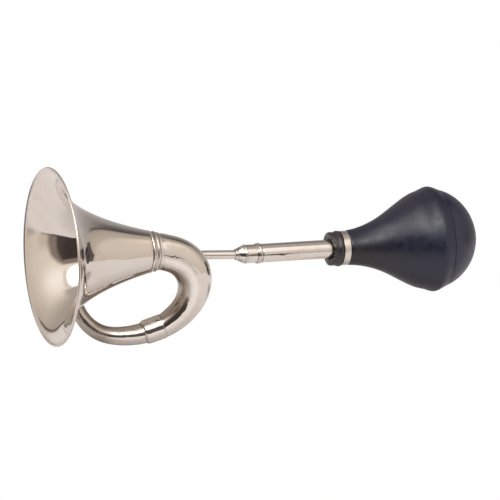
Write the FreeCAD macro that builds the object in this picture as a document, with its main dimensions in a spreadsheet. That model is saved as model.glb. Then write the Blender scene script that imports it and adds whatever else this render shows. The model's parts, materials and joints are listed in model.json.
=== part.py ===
import FreeCAD, Part
import os
import math
import Sketcher
from FreeCAD import Vector, Rotation, Placement

# A hand-squeezed bulb horn: bell, one loop of tapered tube, a thin straight pipe,
# a reed in its socket, a plain reed tube that a clamp holds, and a rubber bulb.
#
# Frame, millimetres: the reed tube lies along X, with the origin on its axis, near the
# middle of its bare length. -X is towards the bell's mouth and +X towards the bulb, +Z is up
# and the bell stands out on the -Y side of the thin pipe.

doc = FreeCAD.newDocument("bulb_horn")

# ---------------------------------------------------------------- driving dimensions
sheet = doc.addObject("Spreadsheet::Sheet", "dims")
sheet.Label = "dims"


class Dim:
    """A number with the sheet expression that drives it."""

    def __init__(self, value, text):
        self.value = float(value)
        self.text = text

    def _other(self, other):
        return other if isinstance(other, Dim) else Dim(other, repr(float(other)))

    def __add__(self, other):
        other = self._other(other)
        return Dim(self.value + other.value, "(%s + %s)" % (self.text, other.text))

    def __sub__(self, other):
        other = self._other(other)
        return Dim(self.value - other.value, "(%s - %s)" % (self.text, other.text))

    def __mul__(self, other):
        other = self._other(other)
        return Dim(self.value * other.value, "(%s * %s)" % (self.text, other.text))


D = {}
row = [1]


def cell(name, value, note=""):
    sheet.set("A%d" % row[0], note or name)
    sheet.set("B%d" % row[0], repr(float(value)))
    sheet.setAlias("B%d" % row[0], name)
    D[name] = Dim(value, "dims." + name)
    row[0] += 1
    return D[name]


# general
cell("sheet_wall", 0.7, "wall of the spun and drawn brass")
cell("solder_gap", 0.05, "radial gap of a soldered or pressed sleeve")
cell("run_gap", 0.05, "radial gap of a push fit")

# bell
cell("bell_axis_y", -28.5, "bell axis, across")
cell("bell_axis_z", 10.3, "bell axis, above the reed tube")
cell("bell_mouth_x", -189.0, "plane of the bell's rolled edge")
cell("bell_mouth_rad", 63.5, "outer radius of the mouth")
cell("roll_rad", 0.9, "outer radius of the rolled edge")
cell("wire_rad", 0.42, "wire in the rolled edge")
cell("throat_rad", 13.55, "bell's spigot in the collar")

# collar and loop
cell("collar_len", 7.9, "length of the beaded collar")
cell("bow_start_rad", 12.9, "bow where it enters the collar")
cell("ferrule_len", 14.0, "lower ferrule")
cell("ferrule_rad", 8.85, "lower ferrule, outer")

# lead pipe
cell("pipe_rad", 3.2, "thin pipe, outer")
cell("pipe_wall", 0.6, "thin pipe, wall")
cell("pipe_slope", 1.93, "fall of the pipe towards the bulb, degrees")
cell("pipe_bend_rad", 60.0, "slight bend just before the cone")
cell("pipe_bend_x", -43.5, "where that bend is")
cell("pipe_start_x", -137.5, "front end of the pipe")
cell("pipe_end_x", -38.5, "rear end of the pipe, in the cone")
cell("pipe_ferrule_len", 11.0, "sleeve between crook and pipe")
cell("pipe_ferrule_rad", 4.2, "sleeve between crook and pipe, outer")

# cone, socket and reed
cell("socket_rad", 6.5, "socket body, outer")
cell("socket_bore", 5.95, "socket bore")
cell("cone_start_x", -43.6, "front end of the cone")
cell("socket_start_x", -35.6, "front end of the socket")
cell("socket_len", 11.7, "socket with its bead")
cell("bead_rad", 7.4, "rolled bead at the socket's mouth")
cell("block_len", 3.6, "reed block")
cell("block_start_x", -34.0, "front face of the reed block")
cell("shallot_rad", 3.4, "shallot, outer")
cell("shallot_bore", 2.7, "shallot, bore")
cell("shallot_len", 26.0, "shallot")
cell("flat_z", 2.0, "height of the shallot's flat face")
cell("tongue_len", 24.4, "reed with its root")
cell("tongue_width", 5.0, "reed")
cell("tongue_thick", 0.3, "reed")
cell("tongue_lift", 1.35, "rest angle of the reed above the flat, degrees")

# reed tube
cell("tube_rad", 6.7, "reed tube, outer: the clamp's seat")
cell("tube_wall", 0.8, "reed tube, wall")
cell("bare_start_x", -23.85, "shoulder of the reed tube at the socket's mouth")
cell("bare_len", 50.25, "bare length of the reed tube")
cell("spigot_rad", 5.9, "end of the reed tube in the socket")
cell("spigot_len", 6.35, "end of the reed tube in the socket")
cell("tail_rad", 6.25, "end of the reed tube in the bush")
cell("tail_len", 20.0, "end of the reed tube in the bush")

# rubber
cell("bush_start_x", 26.5, "front face of the neck bush")
cell("bush_bore", 6.3, "bore of the neck bush")
cell("bush_nose_rad", 11.9, "front step of the bush")
cell("bush_lip_rad", 12.65, "lip of the bush")
cell("bush_core_rad", 9.0, "part of the bush inside the bulb's neck")
cell("band_start_x", 35.6, "neck band")
cell("band_len", 4.8, "neck band")
cell("band_rad", 12.25, "neck band, outer")
cell("band_thick", 0.5, "neck band")
cell("bulb_origin_x", 39.6, "centre of the bulb's neck, where the bulb tilts")
cell("bulb_tilt", 2.2, "rise of the bulb's axis, degrees")
cell("rubber_wall", 2.6, "wall of the bulb")
cell("bulb_split", 27.0, "end of the flexible front cone")
cell("seam_x", 71.8, "seam between the two halves")

# Centre lines of the two tapered tubes: x, y, z and outer radius at each station.
BOW = [
    (-113.1, -28.5, 10.30, 12.80),
    (-109.6, -28.5, 10.22, 12.82),
    (-106.0, -28.45, 9.35, 12.85),
    (-99.91, -28.09, 7.55, 12.97),
    (-93.59, -27.63, 4.67, 13.10),
    (-88.13, -27.11, 0.34, 13.10),
    (-84.13, -26.50, -5.33, 12.91),
    (-82.14, -25.75, -11.97, 12.38),
    (-82.24, -24.81, -18.88, 11.57),
    (-84.08, -23.65, -25.52, 10.75),
    (-87.26, -22.27, -31.59, 10.03),
    (-91.51, -20.73, -36.92, 9.43),
    (-97.02, -19.06, -41.75, 8.90),
    (-103.32, -17.53, -45.60, 8.40),
    (-106.75, -17.02, -46.75, 8.33),
    (-109.60, -16.60, -47.70, 8.30),
]
CROOK = [
    (-110.10, -16.52, -47.87, 7.70),
    (-113.20, -16.06, -48.91, 7.60),
    (-116.43, -15.58, -49.98, 7.50),
    (-123.31, -14.98, -51.25, 7.15),
    (-130.25, -14.34, -51.70, 6.80),
    (-137.19, -13.47, -51.45, 6.40),
    (-144.94, -12.26, -49.94, 6.05),
    (-151.99, -11.00, -46.44, 5.77),
    (-157.77, -9.60, -41.13, 5.52),
    (-161.85, -7.69, -34.55, 5.27),
    (-163.90, -5.14, -27.28, 4.99),
    (-163.71, -2.44, -19.78, 4.68),
    (-161.33, -0.26, -12.49, 4.25),
    (-156.90, 1.00, -5.99, 3.95),
    (-150.70, 1.05, -0.75, 3.72),
    (-144.40, 0.20, 2.85, 3.60),
    (-141.50, 0.02, 3.30, 3.50),
    (-138.00, 0.00, 3.19, 3.50),
]
for label, stations in (("bow", BOW), ("crook", CROOK)):
    for i, (x, y, z, r) in enumerate(stations):
        cell("%s_x_%02d" % (label, i), x, "%s centre line, station %d" % (label, i))
        cell("%s_y_%02d" % (label, i), y)
        cell("%s_z_%02d" % (label, i), z)
        cell("%s_rad_%02d" % (label, i), r)

doc.recompute()

# ---------------------------------------------------------------- helpers
BODIES = []


def new_body(label):
    body = doc.addObject("PartDesign::Body", label)
    body.Label = label
    BODIES.append(body)
    return body


def plane(body, role):
    for feature in body.Origin.OriginFeatures:
        if feature.Role == role:
            return feature
    raise RuntimeError("no plane " + role)


def new_sketch(body, role, name, offset=None):
    sk = body.newObject("Sketcher::SketchObject", name)
    sk.AttachmentSupport = [(plane(body, role), "")]
    sk.MapMode = "FlatFace"
    if offset is not None:
        sk.AttachmentOffset = offset
    return sk


def bind(sk, constraint, dim):
    """Adds a constraint and drives it from the sheet."""
    n = sk.addConstraint(constraint)
    sk.setExpression("Constraints[%d]" % n, dim.text)
    return n


def as_dim(v):
    return v if isinstance(v, Dim) else Dim(v, None)


def pin_vertex(sk, geo, pos, x, r):
    """Fixes a sketch vertex at x, r, from the sheet where the value comes from it."""
    for kind, v, axis in (("DistanceX", x, -2), ("DistanceY", r, -1)):
        if abs(v.value) < 1e-9:
            sk.addConstraint(Sketcher.Constraint("PointOnObject", geo, pos, axis))
        else:
            c = Sketcher.Constraint(kind, -1, 1, geo, pos, v.value)
            if v.text is None:
                sk.addConstraint(c)
            else:
                bind(sk, c, v)


def closed_profile(sk, outline):
    """A closed outline. Each entry is where the edge to the next entry starts: (x, r), with
    ("arc", x, r) or ("curve", [(x, r), ...]) between two of them for an arc's middle
    point or the points of a smooth curve."""
    points, edges = [], []
    for entry in outline:
        if entry[0] == "arc" or entry[0] == "curve":
            edges[-1] = entry
        else:
            points.append((as_dim(entry[0]), as_dim(entry[1])))
            edges.append(None)
    n = len(points)
    geos = []
    for i in range(n):
        a, b = points[i], points[(i + 1) % n]
        pa, pb = Vector(a[0].value, a[1].value, 0), Vector(b[0].value, b[1].value, 0)
        e = edges[i]
        if e is None:
            geos.append((sk.addGeometry(Part.LineSegment(pa, pb), False), 1, 2))
        elif e[0] == "arc":
            arc = Part.Arc(pa, Vector(e[1], e[2], 0), pb)
            g = sk.addGeometry(arc, False)
            # a sketch keeps arcs anticlockwise, so its start may be the far end
            start = sk.getPoint(g, 1)
            geos.append((g, 1, 2) if start.distanceToPoint(pa) < 1e-6 else (g, 2, 1))
        else:
            curve = Part.BSplineCurve()
            curve.interpolate([pa] + [Vector(x, r, 0) for x, r in e[1]] + [pb])
            geos.append((sk.addGeometry(curve, False), 1, 2))
    for i in range(n):
        g, p, _ = geos[i]
        h, _, q = geos[i - 1]
        sk.addConstraint(Sketcher.Constraint("Coincident", h, q, g, p))
        pin_vertex(sk, g, p, points[i][0], points[i][1])


def turned(label, outline, at, hole=None):
    """A piece turned about its own X axis, placed in the horn."""
    body = new_body(label)
    sk = new_sketch(body, "XZ_Plane", label + "_profile")
    closed_profile(sk, outline)
    if hole is not None:
        x, r, radius = hole
        g = sk.addGeometry(Part.Circle(Vector(x.value, r.value, 0), Vector(0, 0, 1), radius.value), False)
        pin_vertex(sk, g, 3, x, r)
        bind(sk, Sketcher.Constraint("Radius", g, radius.value), radius)
    rev = body.newObject("PartDesign::Revolution", label + "_turned")
    rev.Profile = sk
    rev.ReferenceAxis = (sk, ["H_Axis"])
    rev.Angle = 360.0
    body.Placement = at
    return body


def along(x, y=0.0, z=0.0, direction=None):
    """A placement whose X axis points along direction, upright about it."""
    if direction is None:
        return Placement(Vector(x, y, z), Rotation())
    return Placement(Vector(x, y, z), Rotation(Vector(1, 0, 0), direction))


def frames(stations, first=None, last=None):
    """Placements of the round sections along a centre line, carried along it without twist."""
    pts = [Vector(x, y, z) for x, y, z, r in stations]
    curve = Part.BSplineCurve()
    args = {"Points": pts}
    if first is not None:
        args["InitialTangent"] = first
        args["FinalTangent"] = last
    curve.interpolate(**args)
    out = []
    side = None
    for p in pts:
        u = curve.parameter(p)
        d = curve.tangent(u)[0]
        d.normalize()
        if side is None:
            side = Vector(0, 0, 1).cross(d)
        side = side - d * side.dot(d)
        side.normalize()
        up = d.cross(side)
        m = FreeCAD.Matrix(
            side.x, up.x, d.x, p.x, side.y, up.y, d.y, p.y, side.z, up.z, d.z, p.z, 0, 0, 0, 1
        )
        out.append(Placement(m))
    return out, curve


def lofted(label, prefix, stations, wall, first, last):
    """A tapered bent tube: a loft through round sections, hollowed by a second one."""
    body = new_body(label)
    places, curve = frames(stations, first, last)
    for kind, inset in (("PartDesign::AdditiveLoft", None), ("PartDesign::SubtractiveLoft", wall)):
        sketches = []
        for i, place in enumerate(places):
            tag = "%s_%s_%02d" % (label, "out" if inset is None else "in", i)
            if inset is not None:
                # the bore's seam stands off the outside's, or the cut can come back uncut
                place = place.multiply(Placement(Vector(0, 0, 0), Rotation(Vector(0, 0, 1), 90)))
            sk = new_sketch(body, "XY_Plane", tag, place)
            radius = D["%s_rad_%02d" % (prefix, i)]
            if inset is not None:
                radius = radius - inset
            g = sk.addGeometry(Part.Circle(Vector(0, 0, 0), Vector(0, 0, 1), radius.value), False)
            sk.addConstraint(Sketcher.Constraint("Coincident", g, 3, -1, 1))
            bind(sk, Sketcher.Constraint("Radius", g, radius.value), radius)
            for axis, key in (("x", "x"), ("y", "y"), ("z", "z")):
                sk.setExpression(
                    "AttachmentOffset.Base." + axis, "dims.%s_%s_%02d" % (prefix, key, i)
                )
            sketches.append(sk)
        doc.recompute()
        loft = body.newObject(kind, label + ("_outer" if inset is None else "_bore"))
        loft.Profile = sketches[0]
        loft.Sections = [(s, [""]) for s in sketches[1:]]
        loft.Ruled = False
        doc.recompute()
        if inset is None:
            full = body.Shape.Volume
    if not 0.02 * full < body.Shape.Volume < 0.4 * full:
        raise RuntimeError(label + " is not hollow")
    return body, curve


def cut_box(body, name, x0, x1, y0, y1, z_plane, through, upward=True):
    """A pocket over the rectangle x0..x1, y0..y1, from the plane z_plane up or down."""
    sk = new_sketch(body, "XY_Plane", name + "_outline", Placement(Vector(0, 0, z_plane.value), Rotation()))
    sk.setExpression("AttachmentOffset.Base.z", z_plane.text or repr(z_plane.value))
    a, b = Vector(x0, y0, 0), Vector(x1, y0, 0)
    c, d = Vector(x1, y1, 0), Vector(x0, y1, 0)
    n = [sk.addGeometry(Part.LineSegment(p, q), False) for p, q in ((a, b), (b, c), (c, d), (d, a))]
    for i in range(4):
        sk.addConstraint(Sketcher.Constraint("Coincident", n[i], 2, n[(i + 1) % 4], 1))
    for i in (0, 2):
        sk.addConstraint(Sketcher.Constraint("Horizontal", n[i]))
    for i in (1, 3):
        sk.addConstraint(Sketcher.Constraint("Vertical", n[i]))
    doc.recompute()
    before = body.Shape.Volume
    pocket = body.newObject("PartDesign::Pocket", name)
    pocket.Profile = sk
    pocket.Length = through
    # a pocket cuts against its sketch's normal, so an upward one is reversed
    pocket.Reversed = bool(upward)
    doc.recompute()
    if not body.Shape.Volume < before - 1e-3:
        raise RuntimeError(name + " cut nothing")
    return pocket


W = D["sheet_wall"]

# ---------------------------------------------------------------- bell and its edge
# Outside radius against distance from the plane of the rolled edge.
BELL_OUTSIDE = [
    (2.0, 57.28), (3.0, 54.82), (4.0, 52.70), (6.0, 49.16), (8.0, 46.26), (10.0, 43.82),
    (12.0, 41.69), (15.0, 38.91), (20.0, 35.15), (25.0, 32.14), (30.0, 29.51), (36.0, 26.73),
    (42.0, 24.27), (50.0, 21.36), (58.0, 18.80), (66.0, 16.54),
]
roll = D["roll_rad"]
mouth = D["bell_mouth_rad"]


def inside_of(points, t):
    """The points moved inwards by t along the normal of the curve through them."""
    out = []
    for i, (x, r) in enumerate(points):
        a, b = points[max(i - 1, 0)], points[min(i + 1, len(points) - 1)]
        dx, dr = b[0] - a[0], b[1] - a[1]
        k = math.hypot(dx, dr)
        out.append((x + dr / k * t, r - dx / k * t))
    return out


bell_out = [(x + roll.value, r) for x, r in BELL_OUTSIDE]
bell_in = inside_of(bell_out, W.value)
bell = turned(
    "bell",
    [
        (0.45 * roll.value, mouth.value - 1.72 * roll.value),
        ("arc", 0.0, mouth.value - roll.value),
        (roll, mouth),
        ("arc", 2.0 * roll.value, mouth.value - roll.value),
        (1.48 * roll.value, mouth.value - 1.88 * roll.value),
        ("curve", bell_out),
        (70.9, 15.35),
        (71.1, 14.9),
        (71.5, D["throat_rad"]),
        (76.3, D["throat_rad"]),
        (76.3, D["throat_rad"] - 0.65),
        (71.0, D["throat_rad"] - 0.65),
        (70.4, 14.75),
        ("curve", bell_in[::-1]),
    ],
    along(D["bell_mouth_x"].value - roll.value, D["bell_axis_y"].value, D["bell_axis_z"].value),
    hole=(roll, mouth - roll, D["wire_rad"] + 0.03),
)

rim_wire = new_body("rim_wire")
sk = new_sketch(rim_wire, "XZ_Plane", "rim_wire_section")
g = sk.addGeometry(
    Part.Circle(Vector(0, mouth.value - roll.value, 0), Vector(0, 0, 1), D["wire_rad"].value), False
)
sk.addConstraint(Sketcher.Constraint("PointOnObject", g, 3, -2))
bind(sk, Sketcher.Constraint("DistanceY", -1, 1, g, 3, mouth.value - roll.value), mouth - roll)
bind(sk, Sketcher.Constraint("Radius", g, D["wire_rad"].value), D["wire_rad"])
rev = rim_wire.newObject("PartDesign::Revolution", "rim_wire_turned")
rev.Profile = sk
rev.ReferenceAxis = (sk, ["H_Axis"])
rev.Angle = 360.0
rim_wire.Placement = along(D["bell_mouth_x"].value, D["bell_axis_y"].value, D["bell_axis_z"].value)

# ---------------------------------------------------------------- collar with two beads
collar_bore = D["throat_rad"] + D["solder_gap"]
collar_small = D["bow_start_rad"] + D["solder_gap"] * 4.0
turned(
    "throat_collar",
    [
        (0.0, collar_bore),
        (0.0, 14.55),
        (0.25, 14.75),
        ("arc", 1.0, 15.1),
        (1.75, 14.55),
        (2.3, 14.15),
        (3.8, 14.0),
        ("arc", 4.6, 14.4),
        (5.4, 13.9),
        (5.9, 13.65),
        (D["collar_len"], 13.55),
        (D["collar_len"], collar_small),
        (4.9, collar_small),
        (4.9, collar_bore),
    ],
    along(-118.15, D["bell_axis_y"].value, D["bell_axis_z"].value),
)

# ---------------------------------------------------------------- the loop
pipe_dir = Vector(math.cos(math.radians(D["pipe_slope"].value)), 0, -math.sin(math.radians(D["pipe_slope"].value)))
ferrule_dir = Vector(-109.6 + 103.32, -16.6 + 17.53, -47.7 + 45.6)
ferrule_dir.normalize()
main_bow, bow_curve = lofted("main_bow", "bow", BOW, W, Vector(2.4, 0, 0), ferrule_dir * 3.0)
crook, crook_curve = lofted("crook", "crook", CROOK, W, ferrule_dir * 3.3, pipe_dir * 4.0)

# plain sleeve whose left end is rolled in to the crook
f_start = Vector(-103.32, -17.53, -45.60)
turned(
    "lower_ferrule",
    [
        (0.3, 8.5),
        (0.0, 8.65),
        (0.25, D["ferrule_rad"]),
        (11.6, D["ferrule_rad"] - 0.12),
        ("arc", 13.3, 8.55),
        (D["ferrule_len"], 8.05),
        (D["ferrule_len"], 7.68),
        (12.6, 7.72),
        (11.4, 8.2),
        (6.9, 8.45),
    ],
    along(f_start.x, f_start.y, f_start.z, ferrule_dir),
)

# ---------------------------------------------------------------- lead pipe
slope = math.radians(D["pipe_slope"].value)
bend_x, bend_r = D["pipe_bend_x"].value, D["pipe_bend_rad"].value
tan_len = bend_r * math.tan(slope / 2)
p_start = Vector(D["pipe_start_x"].value, 0, (bend_x - D["pipe_start_x"].value) * math.tan(slope))
p_in = Vector(bend_x - tan_len * math.cos(slope), 0, tan_len * math.sin(slope))
p_out = Vector(bend_x + tan_len, 0, 0)
p_end = Vector(D["pipe_end_x"].value, 0, 0)
arc_mid = Vector(
    bend_x + tan_len - bend_r * math.sin(slope / 2), 0, bend_r * (1 - math.cos(slope / 2))
)
lead_pipe = new_body("lead_pipe")
path = new_sketch(lead_pipe, "XZ_Plane", "lead_pipe_path")
flat = [Vector(p.x, p.z, 0) for p in (p_start, p_in, arc_mid, p_out, p_end)]
path.addGeometry(Part.LineSegment(flat[0], flat[1]), False)
path.addGeometry(Part.Arc(flat[1], flat[2], flat[3]), False)
path.addGeometry(Part.LineSegment(flat[3], flat[4]), False)
for g in (0, 2):
    path.addConstraint(Sketcher.Constraint("Block", g))
turn = Rotation(Vector(0, 0, 1), Vector(pipe_dir.x, 0, pipe_dir.z))
for kind, radius, tag in (
    ("PartDesign::AdditivePipe", D["pipe_rad"], "outer"),
    ("PartDesign::SubtractivePipe", D["pipe_rad"] - D["pipe_wall"], "bore"),
):
    sk = new_sketch(lead_pipe, "XY_Plane", "lead_pipe_" + tag + "_section", Placement(p_start, turn))
    g = sk.addGeometry(Part.Circle(Vector(0, 0, 0), Vector(0, 0, 1), radius.value), False)
    sk.addConstraint(Sketcher.Constraint("Coincident", g, 3, -1, 1))
    bind(sk, Sketcher.Constraint("Radius", g, radius.value), radius)
    doc.recompute()
    pipe = lead_pipe.newObject(kind, "lead_pipe_" + tag)
    pipe.Profile = sk
    pipe.Spine = (path, ["Edge1", "Edge2", "Edge3"])
    doc.recompute()

# sleeve between the crook's small end and the pipe, hidden behind the bell
pf = D["pipe_ferrule_rad"]
turned(
    "pipe_ferrule",
    [
        (0.0, 3.65),
        (0.0, pf - 0.25),
        (0.25, pf),
        (D["pipe_ferrule_len"] - 0.25, pf),
        (D["pipe_ferrule_len"], pf - 0.25),
        (D["pipe_ferrule_len"], D["pipe_rad"] + D["solder_gap"]),
        (4.3, D["pipe_rad"] + D["solder_gap"]),
        (4.3, 3.65),
    ],
    along(-142.0, 0.0, (bend_x + 142.0) * math.tan(slope), pipe_dir),
)

# ---------------------------------------------------------------- cone, socket and reed
pr = D["pipe_rad"]
turned(
    "pipe_cone",
    [
        (0.0, pr + D["solder_gap"] + 0.05),
        (0.0, 3.85),
        (0.3, 4.05),
        (1.8, 4.1),
        (6.3, 6.3),
        (6.5, 6.55),
        ("arc", 7.2, 6.75),
        (7.9, 6.55),
        (8.0, 6.3),
        (8.0, 5.9),
        (9.6, 5.9),
        (9.6, 4.6),
        (5.4, 2.7),
        (5.1, 2.7),
        (5.1, pr + D["solder_gap"] + 0.05),
    ],
    along(D["cone_start_x"].value),
)
turned(
    "reed_socket",
    [
        (0.0, D["socket_bore"]),
        (0.0, D["socket_rad"]),
        (7.7, D["socket_rad"]),
        (7.9, 6.95),
        ("arc", 9.7, D["bead_rad"].value),
        (11.5, 6.95),
        (D["socket_len"], 6.75),
        (D["socket_len"], D["socket_bore"]),
    ],
    along(D["socket_start_x"].value),
)
reed_block = turned(
    "reed_block",
    [
        (0.0, 2.2),
        (0.0, D["socket_bore"] - D["run_gap"]),
        (D["block_len"], D["socket_bore"] - D["run_gap"]),
        (D["block_len"], D["shallot_rad"] + D["solder_gap"]),
        (1.0, D["shallot_rad"] + D["solder_gap"]),
        (1.0, 2.2),
    ],
    along(D["block_start_x"].value),
)
cut_box(reed_block, "tongue_slot", 0.6, 4.0, -2.6, 2.6, as_dim(1.85), 1.75)

shallot = turned(
    "shallot",
    [
        (0.0, D["shallot_bore"]),
        (0.0, D["shallot_rad"]),
        (D["shallot_len"], D["shallot_rad"]),
        (D["shallot_len"], D["shallot_bore"]),
    ],
    along(-33.0),
)
# flat face that the reed beats on: an oblong window opens the bore under the reed
cut_box(shallot, "shallot_flat", -1.0, 27.0, -4.0, 4.0, D["flat_z"], 3.0)
turned(
    "shallot_plug",
    [
        (0.0, 0.0),
        (0.0, 2.65),
        (2.0, 2.65),
        (2.0, 3.4),
        (2.8, 3.4),
        (3.1, 3.1),
        (3.1, 0.0),
    ],
    along(-9.0),
)
plug = doc.getObject("shallot_plug")
cut_box(plug, "plug_flat", -0.5, 4.0, -4.0, 4.0, D["flat_z"] - 0.05, 3.0)

# the reed: a thin strip with a rounded end, hinged in effect where it leaves the block
tongue = new_body("reed_tongue")
sk = new_sketch(tongue, "XY_Plane", "tongue_outline")
half = D["tongue_width"].value / 2
root, tip = -2.4, D["tongue_len"].value - 2.4 - half
pts = [Vector(root, -half, 0), Vector(tip, -half, 0), Vector(tip, half, 0), Vector(root, half, 0)]
a = sk.addGeometry(Part.LineSegment(pts[0], pts[1]), False)
b = sk.addGeometry(Part.Arc(pts[1], Vector(tip + half, 0, 0), pts[2]), False)
c = sk.addGeometry(Part.LineSegment(pts[2], pts[3]), False)
d = sk.addGeometry(Part.LineSegment(pts[3], pts[0]), False)
sk.addConstraint(Sketcher.Constraint("Coincident", a, 2, b, 1))
sk.addConstraint(Sketcher.Constraint("Coincident", b, 2, c, 1))
sk.addConstraint(Sketcher.Constraint("Coincident", c, 2, d, 1))
sk.addConstraint(Sketcher.Constraint("Coincident", d, 2, a, 1))
sk.addConstraint(Sketcher.Constraint("Horizontal", a))
sk.addConstraint(Sketcher.Constraint("Horizontal", c))
sk.addConstraint(Sketcher.Constraint("Vertical", d))
bind(sk, Sketcher.Constraint("DistanceY", a, 1, c, 2, 2 * half), D["tongue_width"])
pad = tongue.newObject("PartDesign::Pad", "tongue_strip")
pad.Profile = sk
pad.Length = D["tongue_thick"].value
pad.setExpression("Length", "dims.tongue_thick")
tongue.Placement = Placement(
    Vector(-30.6, 0, 2.15), Rotation(Vector(0, 1, 0), -D["tongue_lift"].value)
)

# wedge that closes the slot over the reed's root, with room for the reed to flex
wedge = new_body("tongue_wedge")
sk = new_sketch(wedge, "XZ_Plane", "wedge_profile")
closed_profile(sk, [(0.0, 0.0), (0.0, 0.92), (2.9, 0.98), (3.6, 0.98), (3.6, 0.1), (3.3, 0.0)])
pad = wedge.newObject("PartDesign::Pad", "wedge_body")
pad.Profile = sk
pad.Length = 5.0
pad.Midplane = True
wedge.Placement = along(-33.3, 0.0, 2.6)

# ---------------------------------------------------------------- reed tube
tr, tw, bare = D["tube_rad"], D["tube_wall"], D["bare_len"]
sp, tl = D["spigot_len"], D["tail_len"]
turned(
    "reed_tube",
    [
        (0.0, D["spigot_rad"] - tw),
        (0.0, D["spigot_rad"] - 0.2),
        (0.2, D["spigot_rad"]),
        (sp, D["spigot_rad"]),
        (sp, tr),
        (sp + bare, tr),
        (sp + bare, D["tail_rad"]),
        (sp + bare + tl - 1.4, D["tail_rad"]),
        (sp + bare + tl - 0.9, 6.9),
        (sp + bare + tl, 6.9),
        (sp + bare + tl, tr - tw),
        (sp + 0.8, tr - tw),
        (sp - 0.2, D["spigot_rad"] - tw),
    ],
    along(D["bare_start_x"].value - sp.value),
)

# ---------------------------------------------------------------- rubber bush and band
turned(
    "neck_bush",
    [
        (0.7, D["bush_bore"]),
        ("arc", 0.25, 6.6),
        (0.15, 7.2),
        (0.0, 9.0),
        (0.0, 10.9),
        ("arc", 0.2, 11.6),
        (0.8, D["bush_nose_rad"]),
        (4.9, D["bush_nose_rad"]),
        (5.25, 12.2),
        ("arc", 6.8, D["bush_lip_rad"].value),
        (8.4, 12.3),
        (8.8, 11.6),
        (8.8, D["bush_core_rad"]),
        (17.1, D["bush_core_rad"]),
        (17.9, D["bush_core_rad"] - 0.8),
        (17.9, D["bush_bore"]),
    ],
    along(D["bush_start_x"].value),
)
turned(
    "neck_band",
    [
        (0.0, D["band_rad"] - D["band_thick"]),
        (0.0, D["band_rad"] - 0.12),
        (0.12, D["band_rad"]),
        (D["band_len"] - 0.12, D["band_rad"]),
        (D["band_len"], D["band_rad"] - 0.12),
        (D["band_len"], D["band_rad"] - D["band_thick"]),
    ],
    along(D["band_start_x"].value),
)

# ---------------------------------------------------------------- rubber bulb
# Outside radius along the bulb's own axis, which rises a little from the tube's.
BULB_OUTSIDE = [
    (1.6, 12.32), (3.5, 12.64), (6.0, 12.92), (11.4, 13.95), (18.6, 16.09), (27.0, 19.66),
]
SHELL_OUTSIDE = [
    (27.0, 19.66), (35.7, 24.59), (44.3, 29.75), (52.9, 33.99), (58.6, 35.79), (62.0, 37.09),
    (64.0, 37.5), (66.5, 37.01), (69.3, 35.75), (71.8, 34.69),
]
DOME_OUTSIDE = [
    (71.8, 34.69), (74.7, 33.61), (77.93, 32.09), (81.69, 29.72), (86.75, 25.26),
    (91.69, 18.63), (94.1, 13.6), (95.9, 9.3), (97.15, 4.8),
]
tilt = D["bulb_tilt"].value
bulb_place = Placement(Vector(D["bulb_origin_x"].value, 0, 0), Rotation(Vector(0, 1, 0), -tilt))
rw = D["rubber_wall"].value


def moved(place, x):
    """The bulb's placement with its local origin at x along its own axis."""
    return Placement(place.multVec(Vector(x, 0, 0)), place.Rotation)


def shifted(points, dx):
    return [(x - dx, r) for x, r in points]


# flexible front cone: closed at the bush, open to the shell
x0 = -3.2
outer = shifted(BULB_OUTSIDE, x0)
inner = inside_of(outer[2:], rw)
turned(
    "bulb_neck",
    [
        (0.0, 9.35),
        (0.0, 11.4),
        (1.34 - x0, 11.45),
        (1.48 - x0, 12.0),
        (outer[0][0], outer[0][1]),
        ("curve", outer[1:-1]),
        (outer[-1][0] - 0.15, outer[-1][1] - 0.05),
        (outer[-1][0] - 0.15, inner[-1][1]),
        ("curve", inner[::-1][1:-1]),
        (inner[0][0] + 0.6, 9.9),
        (inner[0][0] - 0.6, 9.35),
    ],
    moved(bulb_place, x0),
)

# front half of the bulb, with the thick rounded rim and the seat of the rear half
x0 = SHELL_OUTSIDE[0][0]
outer = shifted(SHELL_OUTSIDE, x0)
inner = inside_of(outer[:7], rw)
turned(
    "bulb_shell",
    [
        (0.15, inner[0][1] + 0.1),
        (0.15, outer[0][1] + 0.05),
        ("curve", outer[1:-1]),
        (outer[-1][0], outer[-1][1]),
        (outer[-1][0], 31.8),
        (inner[-1][0] + 0.6, 32.9),
        ("curve", inner[::-1][:-1]),
    ],
    moved(bulb_place, x0),
)

# rear half: a dome on the shell's rim
x0 = DOME_OUTSIDE[0][0]
outer = shifted(DOME_OUTSIDE, x0)
inner = [(0.9, 31.9), (3.5, 30.8), (7.5, 28.2), (12.2, 23.6), (17.0, 16.6), (20.4, 9.4)]
turned(
    "bulb_dome",
    [
        (0.05, 31.8),
        (0.05, outer[0][1]),
        ("curve", outer[1:]),
        (97.6 - x0, 0.0),
        (95.0 - x0, 0.0),
        ("curve", inner[::-1]),
    ],
    moved(bulb_place, x0),
)

# ---------------------------------------------------------------- checks and files
doc.recompute()
bad = [o.Name for o in doc.Objects if any(s in ("Invalid", "Error") for s in o.State)]
if bad:
    raise RuntimeError("failed objects: " + ", ".join(bad))
os.makedirs("parts", exist_ok=True)
for body in BODIES:
    shape = body.Shape
    if shape.isNull() or not shape.isValid() or len(shape.Solids) != 1:
        raise RuntimeError("bad shape: %s (%d solids)" % (body.Label, len(shape.Solids)))
for body in BODIES:
    body.Shape.exportStep("parts/%s.step" % body.Label)
    print("%-16s %9.1f mm3  %s" % (body.Label, body.Shape.Volume, body.Shape.BoundBox))
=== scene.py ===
import json
import math

import bpy
import numpy as np
from mathutils import Matrix, Vector, noise

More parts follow.
